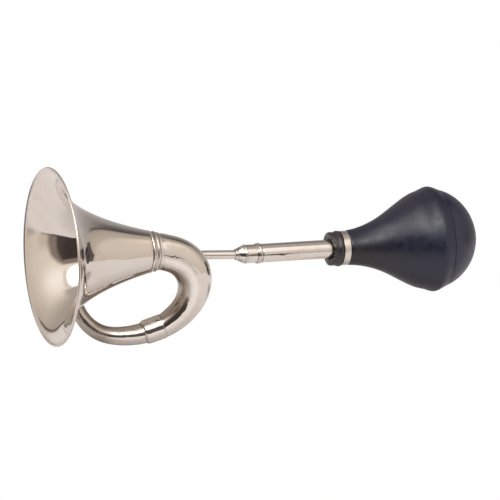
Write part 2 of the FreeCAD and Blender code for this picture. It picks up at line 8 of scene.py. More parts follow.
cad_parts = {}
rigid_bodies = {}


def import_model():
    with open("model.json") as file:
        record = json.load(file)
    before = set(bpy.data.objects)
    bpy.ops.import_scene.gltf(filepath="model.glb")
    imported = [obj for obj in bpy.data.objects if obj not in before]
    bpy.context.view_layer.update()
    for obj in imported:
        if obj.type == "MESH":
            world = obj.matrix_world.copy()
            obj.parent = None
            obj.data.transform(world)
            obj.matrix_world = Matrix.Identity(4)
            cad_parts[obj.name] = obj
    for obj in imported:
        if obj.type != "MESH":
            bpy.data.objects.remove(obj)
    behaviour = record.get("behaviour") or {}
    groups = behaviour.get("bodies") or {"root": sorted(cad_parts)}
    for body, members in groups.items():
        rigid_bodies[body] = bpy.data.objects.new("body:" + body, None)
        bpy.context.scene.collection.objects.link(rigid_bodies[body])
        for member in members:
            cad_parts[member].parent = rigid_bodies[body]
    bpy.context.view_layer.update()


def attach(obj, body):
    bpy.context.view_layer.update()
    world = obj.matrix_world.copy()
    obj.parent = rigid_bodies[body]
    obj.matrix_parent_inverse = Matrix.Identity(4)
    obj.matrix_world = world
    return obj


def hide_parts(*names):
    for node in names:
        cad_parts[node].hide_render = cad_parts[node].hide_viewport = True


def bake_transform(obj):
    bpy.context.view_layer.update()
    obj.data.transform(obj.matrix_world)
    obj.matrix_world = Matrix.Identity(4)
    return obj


# A bulb horn in bright nickel with a rubber bulb. Everything is built in millimetres in
# the row frame and written in metres: the reed tube lies along X, -X is the bell's mouth.

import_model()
scene = bpy.context.scene
MM = 0.001

# ---------------------------------------------------------------- camera
AZ, EL = math.radians(-18.8), math.radians(9.5)
PX = 0.0007047  # metres per pixel of the 500 px frame
right = Vector((math.cos(AZ), math.sin(AZ), 0.0))
back = Vector((math.sin(AZ) * math.cos(EL), -math.cos(AZ) * math.cos(EL), math.sin(EL)))
up = back.cross(right)
rim_centre = Vector((-0.189, -0.0285, 0.0103))
aim = rim_centre + right * (198.1 * PX) + up * (7.0 * PX)
cam_data = bpy.data.cameras.new("camera")
cam = bpy.data.objects.new("camera", cam_data)
scene.collection.objects.link(cam)
cam_data.type = "PERSP"
cam_data.sensor_width = 36.0
cam_data.lens = 1000.0
cam_data.clip_start = 0.5
cam_data.clip_end = 60.0
cam.location = aim + back * (500 * PX * 1000.0 / 36.0)
cam.rotation_mode = "QUATERNION"
cam.rotation_quaternion = (-back).to_track_quat("-Z", "Y")
scene.camera = cam


# ---------------------------------------------------------------- mesh helpers
def spline(t, v, q, first=None, last=None):
    """Cubic spline through the rows of v at t, read at q; natural ends, or with end slopes."""
    t, v, q = np.asarray(t, float), np.asarray(v, float), np.asarray(q, float)
    v = v.reshape(len(t), -1)
    n, h = len(t), np.diff(t)
    a, b = np.zeros((n, n)), np.zeros_like(v)
    a[0, 0] = a[-1, -1] = 1.0
    for i in range(1, n - 1):
        a[i, i - 1], a[i, i], a[i, i + 1] = h[i - 1], 2 * (h[i - 1] + h[i]), h[i]
        b[i] = 6 * ((v[i + 1] - v[i]) / h[i] - (v[i] - v[i - 1]) / h[i - 1])
    if first is not None:
        a[0, 0], a[0, 1] = 2 * h[0], h[0]
        b[0] = 6 * ((v[1] - v[0]) / h[0] - np.asarray(first, float))
    if last is not None:
        a[-1, -1], a[-1, -2] = 2 * h[-1], h[-1]
        b[-1] = 6 * (np.asarray(last, float) - (v[-1] - v[-2]) / h[-1])
    m = np.linalg.solve(a, b)
    k = np.clip(np.searchsorted(t, q, side="right") - 1, 0, n - 2)
    d, hk = (q - t[k])[:, None], h[k][:, None]
    return (
        v[k]
        + d * ((v[k + 1] - v[k]) / hk - hk * (2 * m[k] + m[k + 1]) / 6)
        + d**2 * m[k] / 2
        + d**3 * (m[k + 1] - m[k]) / (6 * hk)
    )


def dense(points, step):
    """A smooth curve through the points, with points about step apart."""
    p = np.asarray(points, float)
    t = np.r_[0, np.cumsum(np.linalg.norm(np.diff(p, axis=0), axis=1))]
    q = np.linspace(0, t[-1], max(2, int(round(t[-1] / step)) + 1))
    return spline(t, p, q)


def offset(curve, d):
    """The curve moved by d to the right of its direction, in the plane of the profile."""
    g = np.gradient(curve, axis=0)
    g /= np.linalg.norm(g, axis=1)[:, None]
    return curve + np.c_[g[:, 1], -g[:, 0]] * d


def rounded(points, step=0.12):
    """A closed outline of (x, r, corner radius), with its corners rounded by that radius."""
    out = []
    n = len(points)
    for i in range(n):
        p = np.array(points[i][:2], float)
        rad = points[i][2] if len(points[i]) > 2 else 0.0
        a = np.array(points[i - 1][:2], float) - p
        b = np.array(points[(i + 1) % n][:2], float) - p
        la, lb = np.linalg.norm(a), np.linalg.norm(b)
        if rad <= 0 or la < 1e-6 or lb < 1e-6:
            out.append(p)
            continue
        a, b = a / la, b / lb
        cosv = float(np.clip(a @ b, -1, 1))
        half = math.acos(cosv) / 2
        if math.pi / 2 - half < 0.02:
            out.append(p)
            continue
        cut = min(rad / math.tan(half), 0.48 * la, 0.48 * lb)
        rad = cut * math.tan(half)
        centre = p + (a + b) / np.linalg.norm(a + b) * (rad / math.sin(half))
        s, e = p + a * cut - centre, p + b * cut - centre
        angle = math.acos(float(np.clip(s @ e / rad**2, -1, 1)))
        k = max(3, int(angle * rad / step) + 2)
        k = max(k, int(angle / 0.35) + 2)
        for j in range(k):
            f = j / (k - 1)
            v = s * math.sin((1 - f) * angle) / math.sin(angle) + e * math.sin(f * angle) / math.sin(angle)
            out.append(centre + v)
    return np.array(out)


def subdivide(profile, step, closed=True):
    """Straight stretches of an outline cut to at most step."""
    p = np.asarray(profile, float)
    out = []
    for i in range(len(p) if closed else len(p) - 1):
        a, b = p[i], p[(i + 1) % len(p)]
        k = max(1, int(math.ceil(np.linalg.norm(b - a) / step)))
        for j in range(k):
            out.append(a + (b - a) * j / k)
    if not closed:
        out.append(p[-1])
    return np.array(out)


def make_mesh(name, verts, quads, tris=None, smooth=True, sharp=None):
    """verts in mm. Faces with an angle over sharp degrees between them keep a hard edge."""
    verts = np.asarray(verts, float).reshape(-1, 3) * MM
    quads = np.asarray(quads, int).reshape(-1, 4)
    tris = np.zeros((0, 3), int) if tris is None else np.asarray(tris, int).reshape(-1, 3)
    # the enclosed volume tells whether the faces look outwards
    c = verts - verts.mean(0)
    fans = [(quads[:, 0], quads[:, 1], quads[:, 2]), (quads[:, 0], quads[:, 2], quads[:, 3])]
    fans.append((tris[:, 0], tris[:, 1], tris[:, 2]))
    vol = sum(float(np.einsum("ij,ij->", c[i], np.cross(c[j], c[k]))) for i, j, k in fans)
    if vol < 0:
        quads, tris = quads[:, ::-1], tris[:, ::-1]
    me = bpy.data.meshes.new(name)
    me.vertices.add(len(verts))
    me.vertices.foreach_set("co", verts.ravel())
    loops = np.concatenate([quads.ravel(), tris.ravel()])
    me.loops.add(len(loops))
    me.loops.foreach_set("vertex_index", loops.astype(np.int32))
    starts = np.concatenate([
        np.arange(len(quads)) * 4, len(quads) * 4 + np.arange(len(tris)) * 3
    ]).astype(np.int32)
    me.polygons.add(len(starts))
    me.polygons.foreach_set("loop_start", starts)
    me.update(calc_edges=True)
    me.validate()
    if smooth:
        me.polygons.foreach_set("use_smooth", np.ones(len(me.polygons), bool))
        if sharp:
            me.set_sharp_from_angle(angle=math.radians(sharp))
    obj = bpy.data.objects.new(name, me)
    scene.collection.objects.link(obj)
    return obj


def grid_faces(rows, cols, close_rows, base=0):
    i = np.arange(rows if close_rows else rows - 1)[:, None]
    j = np.arange(cols)[None, :]
    k = (j + 1) % cols
    a, b = base + i * cols, base + ((i + 1) % rows) * cols
    return np.stack([a + j, a + k, b + k, b + j], -1).reshape(-1, 4)


def basis(direction, hint=(0, 0, 1)):
    """side, up and along unit vectors, along = direction."""
    d = np.array(direction, float)
    d /= np.linalg.norm(d)
    u = np.array(hint, float)
    u -= d * (u @ d)
    u /= np.linalg.norm(u)
    return np.cross(u, d), u, d


def lathe(name, profile, origin, axis=(1, 0, 0), segs=128, shape=None, sharp=32.0, lift=None):
    """A closed outline (x, r) turned about the axis. Points at r = 0 are poles. shape, if given,
    takes x, r and the angle arrays and returns new x and r; lift takes the x values and
    returns how far each ring stands off the straight axis, upwards."""
    side, u, d = basis(axis)
    o = np.array(origin, float)
    th = np.arange(segs) * 2 * math.pi / segs
    verts, rows = [], []
    off = np.zeros(len(profile)) if lift is None else lift(np.array([p[0] for p in profile], float))
    for (x, r), z in zip(profile, off):
        if r < 1e-5:
            rows.append(("pole", len(verts)))
            verts.append(o + d * x + np.array((0, 0, z)))
            continue
        xx, rr = np.full(segs, float(x)), np.full(segs, float(r))
        if shape is not None:
            xx, rr = shape(xx, rr, th)
        rows.append(("ring", len(verts)))
        ring = o + np.outer(xx, d) + np.outer(rr * np.cos(th), u) + np.outer(rr * np.sin(th), side)
        verts.extend(ring + np.array((0, 0, z)))
    quads, tris = [], []
    n = len(rows)
    j = np.arange(segs)
    k = (j + 1) % segs
    for i in range(n):
        (ka, a), (kb, b) = rows[i], rows[(i + 1) % n]
        if ka == "pole" and kb == "pole":
            continue
        if ka == "pole":
            tris.append(np.stack([np.full(segs, a), b + k, b + j], -1))
        elif kb == "pole":
            tris.append(np.stack([a + j, a + k, np.full(segs, b)], -1))
        else:
            quads.append(np.stack([a + j, a + k, b + k, b + j], -1))
    return make_mesh(
        name, verts, np.concatenate(quads), np.concatenate(tris) if tris else None, sharp=sharp
    )


def transport(centre):
    """Side and up vectors carried along a centre line without twist."""
    g = np.gradient(centre, axis=0)
    g /= np.linalg.norm(g, axis=1)[:, None]
    side = np.cross((0, 0, 1), g[0])
    side /= np.linalg.norm(side)
    sides, ups = [], []
    for d in g:
        side = side - d * (side @ d)
        side /= np.linalg.norm(side)
        sides.append(side)
        ups.append(np.cross(d, side))
    return np.array(sides), np.array(ups), g


def sweep(name, centre, radii, wall, segs=96, shape=None):
    """A tube with a wall along a centre line; shape takes the running length, the angles and
    the radius of one ring and returns the ring's radii."""
    sides, ups, g = transport(centre)
    run = np.r_[0, np.cumsum(np.linalg.norm(np.diff(centre, axis=0), axis=1))]
    th = np.arange(segs) * 2 * math.pi / segs
    verts = []
    order = [(i, 0.0) for i in range(len(centre))] + [(i, wall) for i in range(len(centre) - 1, -1, -1)]
    for i, w in order:
        r = np.full(segs, radii[i] - w)
        if shape is not None:
            r = shape(run[i], th, r)
        verts.extend(centre[i] + np.outer(r * np.cos(th), ups[i]) + np.outer(r * np.sin(th), sides[i]))
    return make_mesh(name, verts, grid_faces(len(order), segs, True), sharp=35.0)


def ripple(obj, amp, size, seed, stretch=(1, 1, 1), keep=None):
    """Moves each vertex along its normal by a smooth noise: amp and size in mm."""
    me = obj.data
    n = len(me.vertices)
    co, no = np.zeros(n * 3), np.zeros(n * 3)
    me.vertices.foreach_get("co", co)
    me.vertices.foreach_get("normal", no)
    co, no = co.reshape(-1, 3), no.reshape(-1, 3)
    s = 1.0 / (size * MM)
    off = Vector((seed * 7.31, seed * 3.77, seed * 5.13))
    d = np.array([
        noise.noise(Vector((c[0] * s * stretch[0], c[1] * s * stretch[1], c[2] * s * stretch[2])) + off)
        for c in co
    ])
    if keep is not None:
        d = d * keep(co / MM)
    co = co + no * (d * amp * MM)[:, None]
    me.vertices.foreach_set("co", co.ravel())
    me.update()


def fade(x, a, b):
    """0 below a, 1 above b, smooth between."""
    t = np.clip((np.asarray(x, float) - a) / (b - a), 0, 1)
    return t * t * (3 - 2 * t)


# ---------------------------------------------------------------- bell
BELL = [
    (2.0, 57.28), (3.0, 54.82), (4.0, 52.70), (6.0, 49.16), (8.0, 46.26), (10.0, 43.82),
    (12.0, 41.69), (15.0, 38.91), (20.0, 35.15), (25.0, 32.14), (30.0, 29.51), (36.0, 26.73),
    (42.0, 24.27), (50.0, 21.36), (58.0, 18.80), (66.0, 16.54), (70.2, 15.45),
]
WALL = 0.7
bell_out = dense([(0.432, 61.81)] + BELL, 0.55)
bell_in = offset(bell_out, WALL)
# the rolled edge, from the sheet's inner face round the front to its outer face
t0, t1 = math.atan2(61.72 - 62.6, -0.30), math.atan2(61.81 - 62.6, 0.432)
roll = [
    (0.9 * math.cos(t), 62.6 + 0.9 * math.sin(t))
    for t in np.linspace(t0, t1 - 2 * math.pi, 26)
]
inner = [p for p in bell_in[::-1] if p[1] < 61.2]
bell_profile = np.array(
    [tuple(p) for p in bell_out]
    + [(70.4, 15.2), (70.5, 14.5), (70.6, 13.6), (75.3, 13.55), (75.4, 13.5), (75.4, 12.95),
       (75.3, 12.9), (70.6, 12.95), (70.0, 14.2), (69.6, 14.75)]
    + [tuple(p) for p in inner if p[0] < 69.6]
    + [tuple(p) for p in roll[:-1]]
)
BELL_AXIS = (-28.5, 10.3)
bell = lathe("bell_spun", bell_profile, (-189.0, *BELL_AXIS), segs=280, sharp=60.0)

# ---------------------------------------------------------------- collar with two beads
collar = lathe(
    "collar_beaded",
    subdivide(rounded([
        (0.0, 13.7), (0.0, 14.5, 0.2), (0.35, 14.85, 0.5), (1.0, 15.15, 0.9), (1.7, 14.75, 0.5),
        (2.2, 14.2, 0.4), (3.7, 14.05, 0.4), (4.15, 14.35, 0.5), (4.7, 14.45, 0.5),
        (5.3, 14.0, 0.5), (5.9, 13.6, 0.4), (7.6, 13.45, 0.2), (7.9, 13.3, 0.1), (7.9, 13.0),
        (5.0, 13.0), (5.0, 13.7),
    ]), 0.5),
    (-118.15, *BELL_AXIS), segs=220, sharp=45.0,
)

# ---------------------------------------------------------------- the loop
BOW = [
    (-113.1, -28.5, 10.30, 12.80), (-109.6, -28.5, 10.22, 12.82), (-106.0, -28.45, 9.35, 12.85),
    (-99.91, -28.09, 7.55, 12.97), (-93.59, -27.63, 4.67, 13.10), (-88.13, -27.11, 0.34, 13.10),
    (-84.13, -26.50, -5.33, 12.91), (-82.14, -25.75, -11.97, 12.38), (-82.24, -24.81, -18.88, 11.57),
    (-84.08, -23.65, -25.52, 10.75), (-87.26, -22.27, -31.59, 10.03), (-91.51, -20.73, -36.92, 9.43),
    (-97.02, -19.06, -41.75, 8.90), (-103.32, -17.53, -45.60, 8.40), (-106.75, -17.02, -46.75, 8.33),
    (-109.60, -16.60, -47.70, 8.30),
]
CROOK = [
    (-110.10, -16.52, -47.87, 7.70), (-113.20, -16.06, -48.91, 7.60), (-116.43, -15.58, -49.98, 7.50),
    (-123.31, -14.98, -51.25, 7.15), (-130.25, -14.34, -51.70, 6.80), (-137.19, -13.47, -51.45, 6.40),
    (-144.94, -12.26, -49.94, 6.05), (-151.99, -11.00, -46.44, 5.77), (-157.77, -9.60, -41.13, 5.52),
    (-161.85, -7.69, -34.55, 5.27), (-163.90, -5.14, -27.28, 4.99), (-163.71, -2.44, -19.78, 4.68),
    (-161.33, -0.26, -12.49, 4.25), (-156.90, 1.00, -5.99, 3.95), (-150.70, 1.05, -0.75, 3.72),
    (-144.40, 0.20, 2.85, 3.60), (-141.50, 0.02, 3.30, 3.50), (-138.00, 0.00, 3.19, 3.50),
]
FERRULE_DIR = np.array([-6.28, 0.93, -2.1])
FERRULE_DIR /= np.linalg.norm(FERRULE_DIR)
SLOPE = math.radians(1.93)
PIPE_DIR = np.array([math.cos(SLOPE), 0, -math.sin(SLOPE)])


def line_of(stations, step, first, last):
    p = np.array(stations, float)
    t = np.r_[0, np.cumsum(np.linalg.norm(np.diff(p[:, :3], axis=0), axis=1))]
    q = np.linspace(0, t[-1], int(t[-1] / step) + 1)
    c = spline(t, p[:, :3], q, first=first, last=last)
    r = spline(t, p[:, 3], q)[:, 0]
    return c, r


bow_c, bow_r = line_of(BOW, 0.8, (1, 0, 0), FERRULE_DIR)
bow = sweep("bow_tube", bow_c, bow_r, WALL, segs=144)
crook_c, crook_r = line_of(CROOK, 0.8, FERRULE_DIR, PIPE_DIR)
crook = sweep("crook_tube", crook_c, crook_r, WALL, segs=96)

ferrule = lathe(
    "ferrule_lower",
    subdivide(rounded([
        (6.9, 8.4), (0.3, 8.46), (0.0, 8.6, 0.1), (0.2, 8.85, 0.15), (11.3, 8.73, 1.0),
        (12.9, 8.62, 0.8), (13.7, 8.3, 0.4), (14.0, 8.0, 0.15), (14.0, 7.74), (11.4, 7.8), (11.2, 8.2),
    ]), 0.6),
    (-103.32, -17.53, -45.60), FERRULE_DIR, segs=160, sharp=40.0,
)

# ---------------------------------------------------------------- thin pipe and its sleeve
bend_x, bend_r = -43.5, 60.0
tan_len = bend_r * math.tan(SLOPE / 2)
line = [np.array((-137.5, 0, (bend_x + 137.5) * math.tan(SLOPE)))]
p_in = np.array((bend_x - tan_len * math.cos(SLOPE), 0, tan_len * math.sin(SLOPE)))
for f in np.linspace(0, 1, 110)[1:]:
    line.append(line[0] + (p_in - line[0]) * f)
for f in np.linspace(0, 1, 6)[1:]:
    a = SLOPE * (1 - f)
    line.append(np.array((bend_x + tan_len - bend_r * math.sin(a), 0, bend_r * (1 - math.cos(a)))))
for f in np.linspace(0, 1, 8)[1:]:
    line.append(np.array((bend_x + tan_len + (-38.5 - bend_x - tan_len) * f, 0, 0)))
pipe = sweep("pipe_thin", np.array(line), np.full(len(line), 3.2), 0.6, segs=72)
sleeve = lathe(
    "pipe_sleeve",
    subdivide(rounded([
        (0.0, 3.6), (0.0, 4.0, 0.15), (0.25, 4.2, 0.2), (10.75, 4.2, 0.2), (11.0, 3.95, 0.1),
        (11.0, 3.25), (4.3, 3.25), (4.3, 3.6),
    ]), 0.7),
    (-142.0, 0.0, (bend_x + 142.0) * math.tan(SLOPE)), PIPE_DIR, segs=96,
)

# ---------------------------------------------------------------- cone, socket and reed tube
cone = lathe(
    "cone_reducer",
    subdivide(rounded([
        (0.0, 3.25), (0.25, 3.7, 0.2), (0.9, 4.0, 0.5), (1.9, 4.2, 0.8), (2.4, 4.55, 0.5), (5.4, 6.05, 1.2),
        (6.9, 6.5, 0.5), (7.15, 6.75, 0.2), (7.75, 6.86, 0.3), (8.25, 6.74, 0.15), (8.3, 5.9),
        (9.6, 5.9), (9.6, 4.6), (5.4, 2.9), (5.1, 3.25),
    ], 0.1), 0.4),
    (-43.6, 0, 0), segs=160, sharp=50.0,
)
socket = lathe(
    "socket_beaded",
    subdivide(rounded([
        (0.3, 5.95), (0.3, 6.6, 0.1), (7.8, 6.62, 0.1), (7.9, 7.16, 0.1), (8.6, 7.28, 0.8),
        (9.35, 7.36, 0.25), (9.55, 7.2, 0.12), (9.8, 7.36, 0.2), (10.6, 7.27, 0.6), (11.25, 7.0, 0.25),
        (11.65, 6.86, 0.12), (11.75, 6.7, 0.08), (11.75, 5.95),
    ], 0.1), 0.4),
    (-35.6, 0, 0), segs=160, sharp=50.0,
)
tube = lathe(
    "tube_plain",
    subdivide(rounded([
        (0.0, 5.1), (0.0, 5.85, 0.15), (0.2, 5.9, 0.1), (6.35, 5.9), (6.4, 6.55, 0.12), (6.9, 6.7, 0.2),
        (57.8, 6.7), (57.8, 6.25), (74.8, 6.25), (75.6, 6.85), (76.5, 6.85, 0.1), (76.5, 5.9), (6.65, 5.9),
        (5.65, 5.1),
    ], 0.1), 0.9),
    (-30.2, 0, 0), segs=160, sharp=45.0,
)

# ---------------------------------------------------------------- neck bush, band and bulb
def bush_shape(x, r, th):
    """Aged rubber: the front edge and the corner round the tube are uneven."""
    near = fade(-x, -3.2, -0.2)
    wave = 0.22 * np.sin(3 * th + 0.7) + 0.16 * np.sin(7 * th + 2.1) + 0.1 * np.sin(13 * th + 0.3)
    inner = fade(-r, -9.4, -7.0)
    x = x + near * (0.28 * wave + inner * (0.6 * wave + 0.06 * np.sin(19 * th)))
    x = x + 2.7 * fade(-x, -5.2, 0.0) * np.clip(-np.sin(th), 0, 1) ** 1.5
    r = r + near * 0.28 * wave * (1 - inner) + 0.05 * np.sin(5 * th + 1.0) * fade(r, 10.5, 12.0)
    return x, r


bush = lathe(
    "bush_rubber",
    subdivide(rounded([
        (2.6, 6.32), (1.4, 6.8, 0.8), (0.75, 7.3, 0.5), (0.5, 8.2, 0.6), (0.2, 9.4, 0.8),
        (0.05, 10.6, 0.9), (0.4, 11.65, 0.7), (1.3, 12.0, 0.6), (4.9, 11.95, 0.2), (5.3, 12.25, 0.3),
        (6.6, 12.78, 0.9), (8.1, 12.62, 0.6), (8.75, 12.1, 0.35), (8.85, 11.4, 0.2), (8.85, 9.0),
        (17.1, 9.0), (17.9, 8.2), (17.9, 6.32),
    ], 0.12), 0.25),
    (26.5, 0, 0), segs=288, sharp=60.0, shape=bush_shape,
)
band = lathe(
    "band_neck",
    subdivide(rounded([
        (0.0, 11.78), (0.0, 12.24, 0.12), (0.5, 12.3, 0.4), (4.3, 12.3, 0.4), (4.8, 12.24, 0.12), (4.8, 11.78),
    ], 0.08), 0.4),
    (35.6, 0, 0), segs=200, sharp=50.0,
)

# The bulb droops a little: its rings lean by LEAN and their centres rise along a curve.
LEAN = math.radians(1.145)
BULB_O = np.array((39.6, 0.0, 0.0))
BULB_D = np.array((math.cos(LEAN), 0.0, math.sin(LEAN)))


def bulb_lift(x):
    t = np.clip(x, 0, None) / 70.0
    return 1.290 * t + 2.391 * t**2 - 1.828 * t**3


SKIN = [
    (0.95, 12.05), (1.6, 12.32), (3.5, 12.64), (6.0, 12.92), (11.4, 13.95), (18.6, 16.09), (27.0, 19.66),
    (35.7, 24.59), (44.3, 29.75), (52.9, 33.99), (58.6, 35.79), (62.0, 37.09), (64.0, 37.5),
    (66.5, 37.01), (69.3, 35.75), (71.55, 34.8),
]
skin_out = dense(SKIN, 0.6)
skin_in = offset(dense([(6.0, 12.92), (11.4, 13.95), (18.6, 16.09), (27.0, 19.66), (35.7, 24.59),
                        (44.3, 29.75), (52.9, 33.99), (58.6, 35.79), (62.0, 37.09), (64.0, 37.5)], 1.6), 2.6)
skin_profile = np.array(
    [(-3.1, 11.4), (0.6, 11.5), (0.8, 11.85)]
    + [tuple(p) for p in skin_out]
    + [(71.62, 34.5), (71.6, 31.8), (66.6, 33.6)]
    + [tuple(p) for p in skin_in[::-1]]
    + [(6.6, 9.9), (5.4, 9.45), (-3.1, 9.4)]
)
skin = lathe("bulb_front", skin_profile, BULB_O, BULB_D, segs=288, sharp=50.0, lift=bulb_lift)
DOME = [
    (72.05, 34.45), (74.7, 33.61), (77.93, 32.09), (81.69, 29.72), (86.75, 25.26), (91.69, 18.7),
    (94.6, 12.6), (96.5, 6.9), (97.35, 2.5), (97.5, 0.0),
]
half = DOME + [(x, -r) for x, r in DOME[::-1][1:]]
whole = dense(half, 0.6)
dome_out = [tuple(p) for p in whole if p[1] > 0.25] + [(97.5, 0.0)]
dome_in = [(95.2, 0.0), (94.0, 6.0), (92.2, 10.0), (88.8, 16.6), (84.0, 23.6), (79.3, 28.2), (75.3, 30.8),
           (72.7, 31.9), (71.85, 31.8)]
dome = lathe("bulb_rear", np.array([(71.85, 34.1)] + dome_out + dome_in), BULB_O, BULB_D, segs=288,
             sharp=50.0, lift=bulb_lift)

# The straight run hangs a fraction of a millimetre low between bell and bulb.
def sag(x):
    """How far the pieces on the tube's line hang at x, in mm."""
    return np.interp(x, [-110, -62, -46, -34, -22, 0, 22, 34.5, 36], [0, -0.18, -0.36, -0.42, -0.42, -0.28, -0.18, -0.24, 0])


for v in bell.data.vertices:
    v.co.y = max(v.co.y, -91.99 * MM)
for o in (pipe, cone, socket, tube, bush):
    me = o.data
    co = np.zeros(len(me.vertices) * 3)
    me.vertices.foreach_get("co", co)
    co = co.reshape(-1, 3)
    x = co[:, 0] / MM
    co[:, 2] += sag(x) * MM
    me.vertices.foreach_set("co", co.ravel())
    me.update()

# ---------------------------------------------------------------- what stands for what
for piece, body, slot, nodes in (
    (bell, "horn", "nickel", ("bell",)),
    (collar, "horn", "nickel", ("throat_collar",)),
    (bow, "horn", "nickel", ("main_bow",)),
    (ferrule, "horn", "nickel", ("lower_ferrule",)),
    (crook, "horn", "nickel", ("crook",)),
    (sleeve, "horn", "nickel", ("pipe_ferrule",)),
    (pipe, "horn", "nickel", ("lead_pipe",)),
    (cone, "horn", "nickel", ("pipe_cone",)),
    (socket, "horn", "nickel", ("reed_socket",)),
    (tube, "clamp_tube", "nickel", ("reed_tube",)),
    (bush, "clamp_tube", "bush_rubber", ("neck_bush",)),
    (band, "clamp_tube", "nickel", ("neck_band",)),
    (dome, "bulb", "bulb_rubber", ("bulb_dome",)),
):
    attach(piece, body)
    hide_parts(*nodes)
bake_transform(skin)
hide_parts("bulb_neck", "bulb_shell")

# ---------------------------------------------------------------- node building
class Graph:
    """Short ways to wire shader nodes. Arguments are numbers, tuples or sockets."""

    def __init__(self, tree):
        self.t = tree

    def new(self, kind):
        return self.t.nodes.new(kind)

    def put(self, sock, v):
        if isinstance(v, bpy.types.NodeSocket):
            self.t.links.new(v, sock)
        elif isinstance(v, tuple) and sock.type == "RGBA":
            sock.default_value = (*v[:3], 1.0)
        else:
            sock.default_value = v

    def m(self, op, a, b=None, c=None, clamp=False):
        n = self.new("ShaderNodeMath")
        n.operation, n.use_clamp = op, clamp
        for i, v in enumerate((a, b, c)):
            if v is not None:
                self.put(n.inputs[i], v)
        return n.outputs[0]

    def add(self, a, b):
        return self.m("ADD", a, b)

    def sub(self, a, b):
        return self.m("SUBTRACT", a, b)

    def mul(self, a, *more):
        for b in more:
            a = self.m("MULTIPLY", a, b)
        return a

    def inv(self, a):
        return self.m("SUBTRACT", 1.0, a)

    def step(self, x, a, b, lo=0.0, hi=1.0, smooth=True):
        """lo below a, hi above b."""
        n = self.new("ShaderNodeMapRange")
        n.interpolation_type = "SMOOTHSTEP" if smooth else "LINEAR"
        for k, v in (("Value", x), ("From Min", a), ("From Max", b), ("To Min", lo), ("To Max", hi)):
            self.put(n.inputs[k], v)
        return n.outputs["Result"]

    def mix(self, f, a, b, mode="MIX"):
        n = self.new("ShaderNodeMix")
        n.data_type, n.blend_type = "RGBA", mode
        self.put(n.inputs[0], f)
        self.put(n.inputs[6], a)
        self.put(n.inputs[7], b)
        return n.outputs[2]

    def curve(self, x, points, smooth=True):
        """A height over x from 0 to 1, through the points."""
        n = self.new("ShaderNodeFloatCurve")
        c = n.mapping.curves[0]
        while len(c.points) < len(points):
            c.points.new(0.5, 0.5)
        for q, (px, py) in zip(c.points, points):
            q.location = (px, py)
            q.handle_type = "AUTO_CLAMPED" if smooth else "VECTOR"
        n.mapping.update()
        self.put(n.inputs["Value"], x)
        return n.outputs[0]

    def noise(self, vec, scale, detail=2.0, rough=0.5, dist=0.0):
        n = self.new("ShaderNodeTexNoise")
        self.put(n.inputs["Vector"], vec)
        for k, v in (("Scale", scale), ("Detail", detail), ("Roughness", rough), ("Distortion", dist)):
            self.put(n.inputs[k], v)
        return n.outputs["Fac"]

    def scaled(self, vec, sx, sy, sz):
        n = self.new("ShaderNodeMapping")
        self.put(n.inputs["Vector"], vec)
        n.inputs["Scale"].default_value = (sx, sy, sz)
        return n.outputs[0]

    def bump(self, height, distance, strength=1.0, normal=None):
        n = self.new("ShaderNodeBump")
        n.inputs["Distance"].default_value = distance
        n.inputs["Strength"].default_value = strength
        self.put(n.inputs["Height"], height)
        if normal is not None:
            self.put(n.inputs["Normal"], normal)
        return n.outputs[0]

    def attr(self, name):
        n = self.new("ShaderNodeAttribute")
        n.attribute_name = name
        return n.outputs["Fac"]


def material(name):
    m = bpy.data.materials.new(name)
    m.use_nodes = True
    g = Graph(m.node_tree)
    b = m.node_tree.nodes["Principled BSDF"]
    pos = g.new("ShaderNodeTexCoord").outputs["Object"]
    return m, g, b, pos


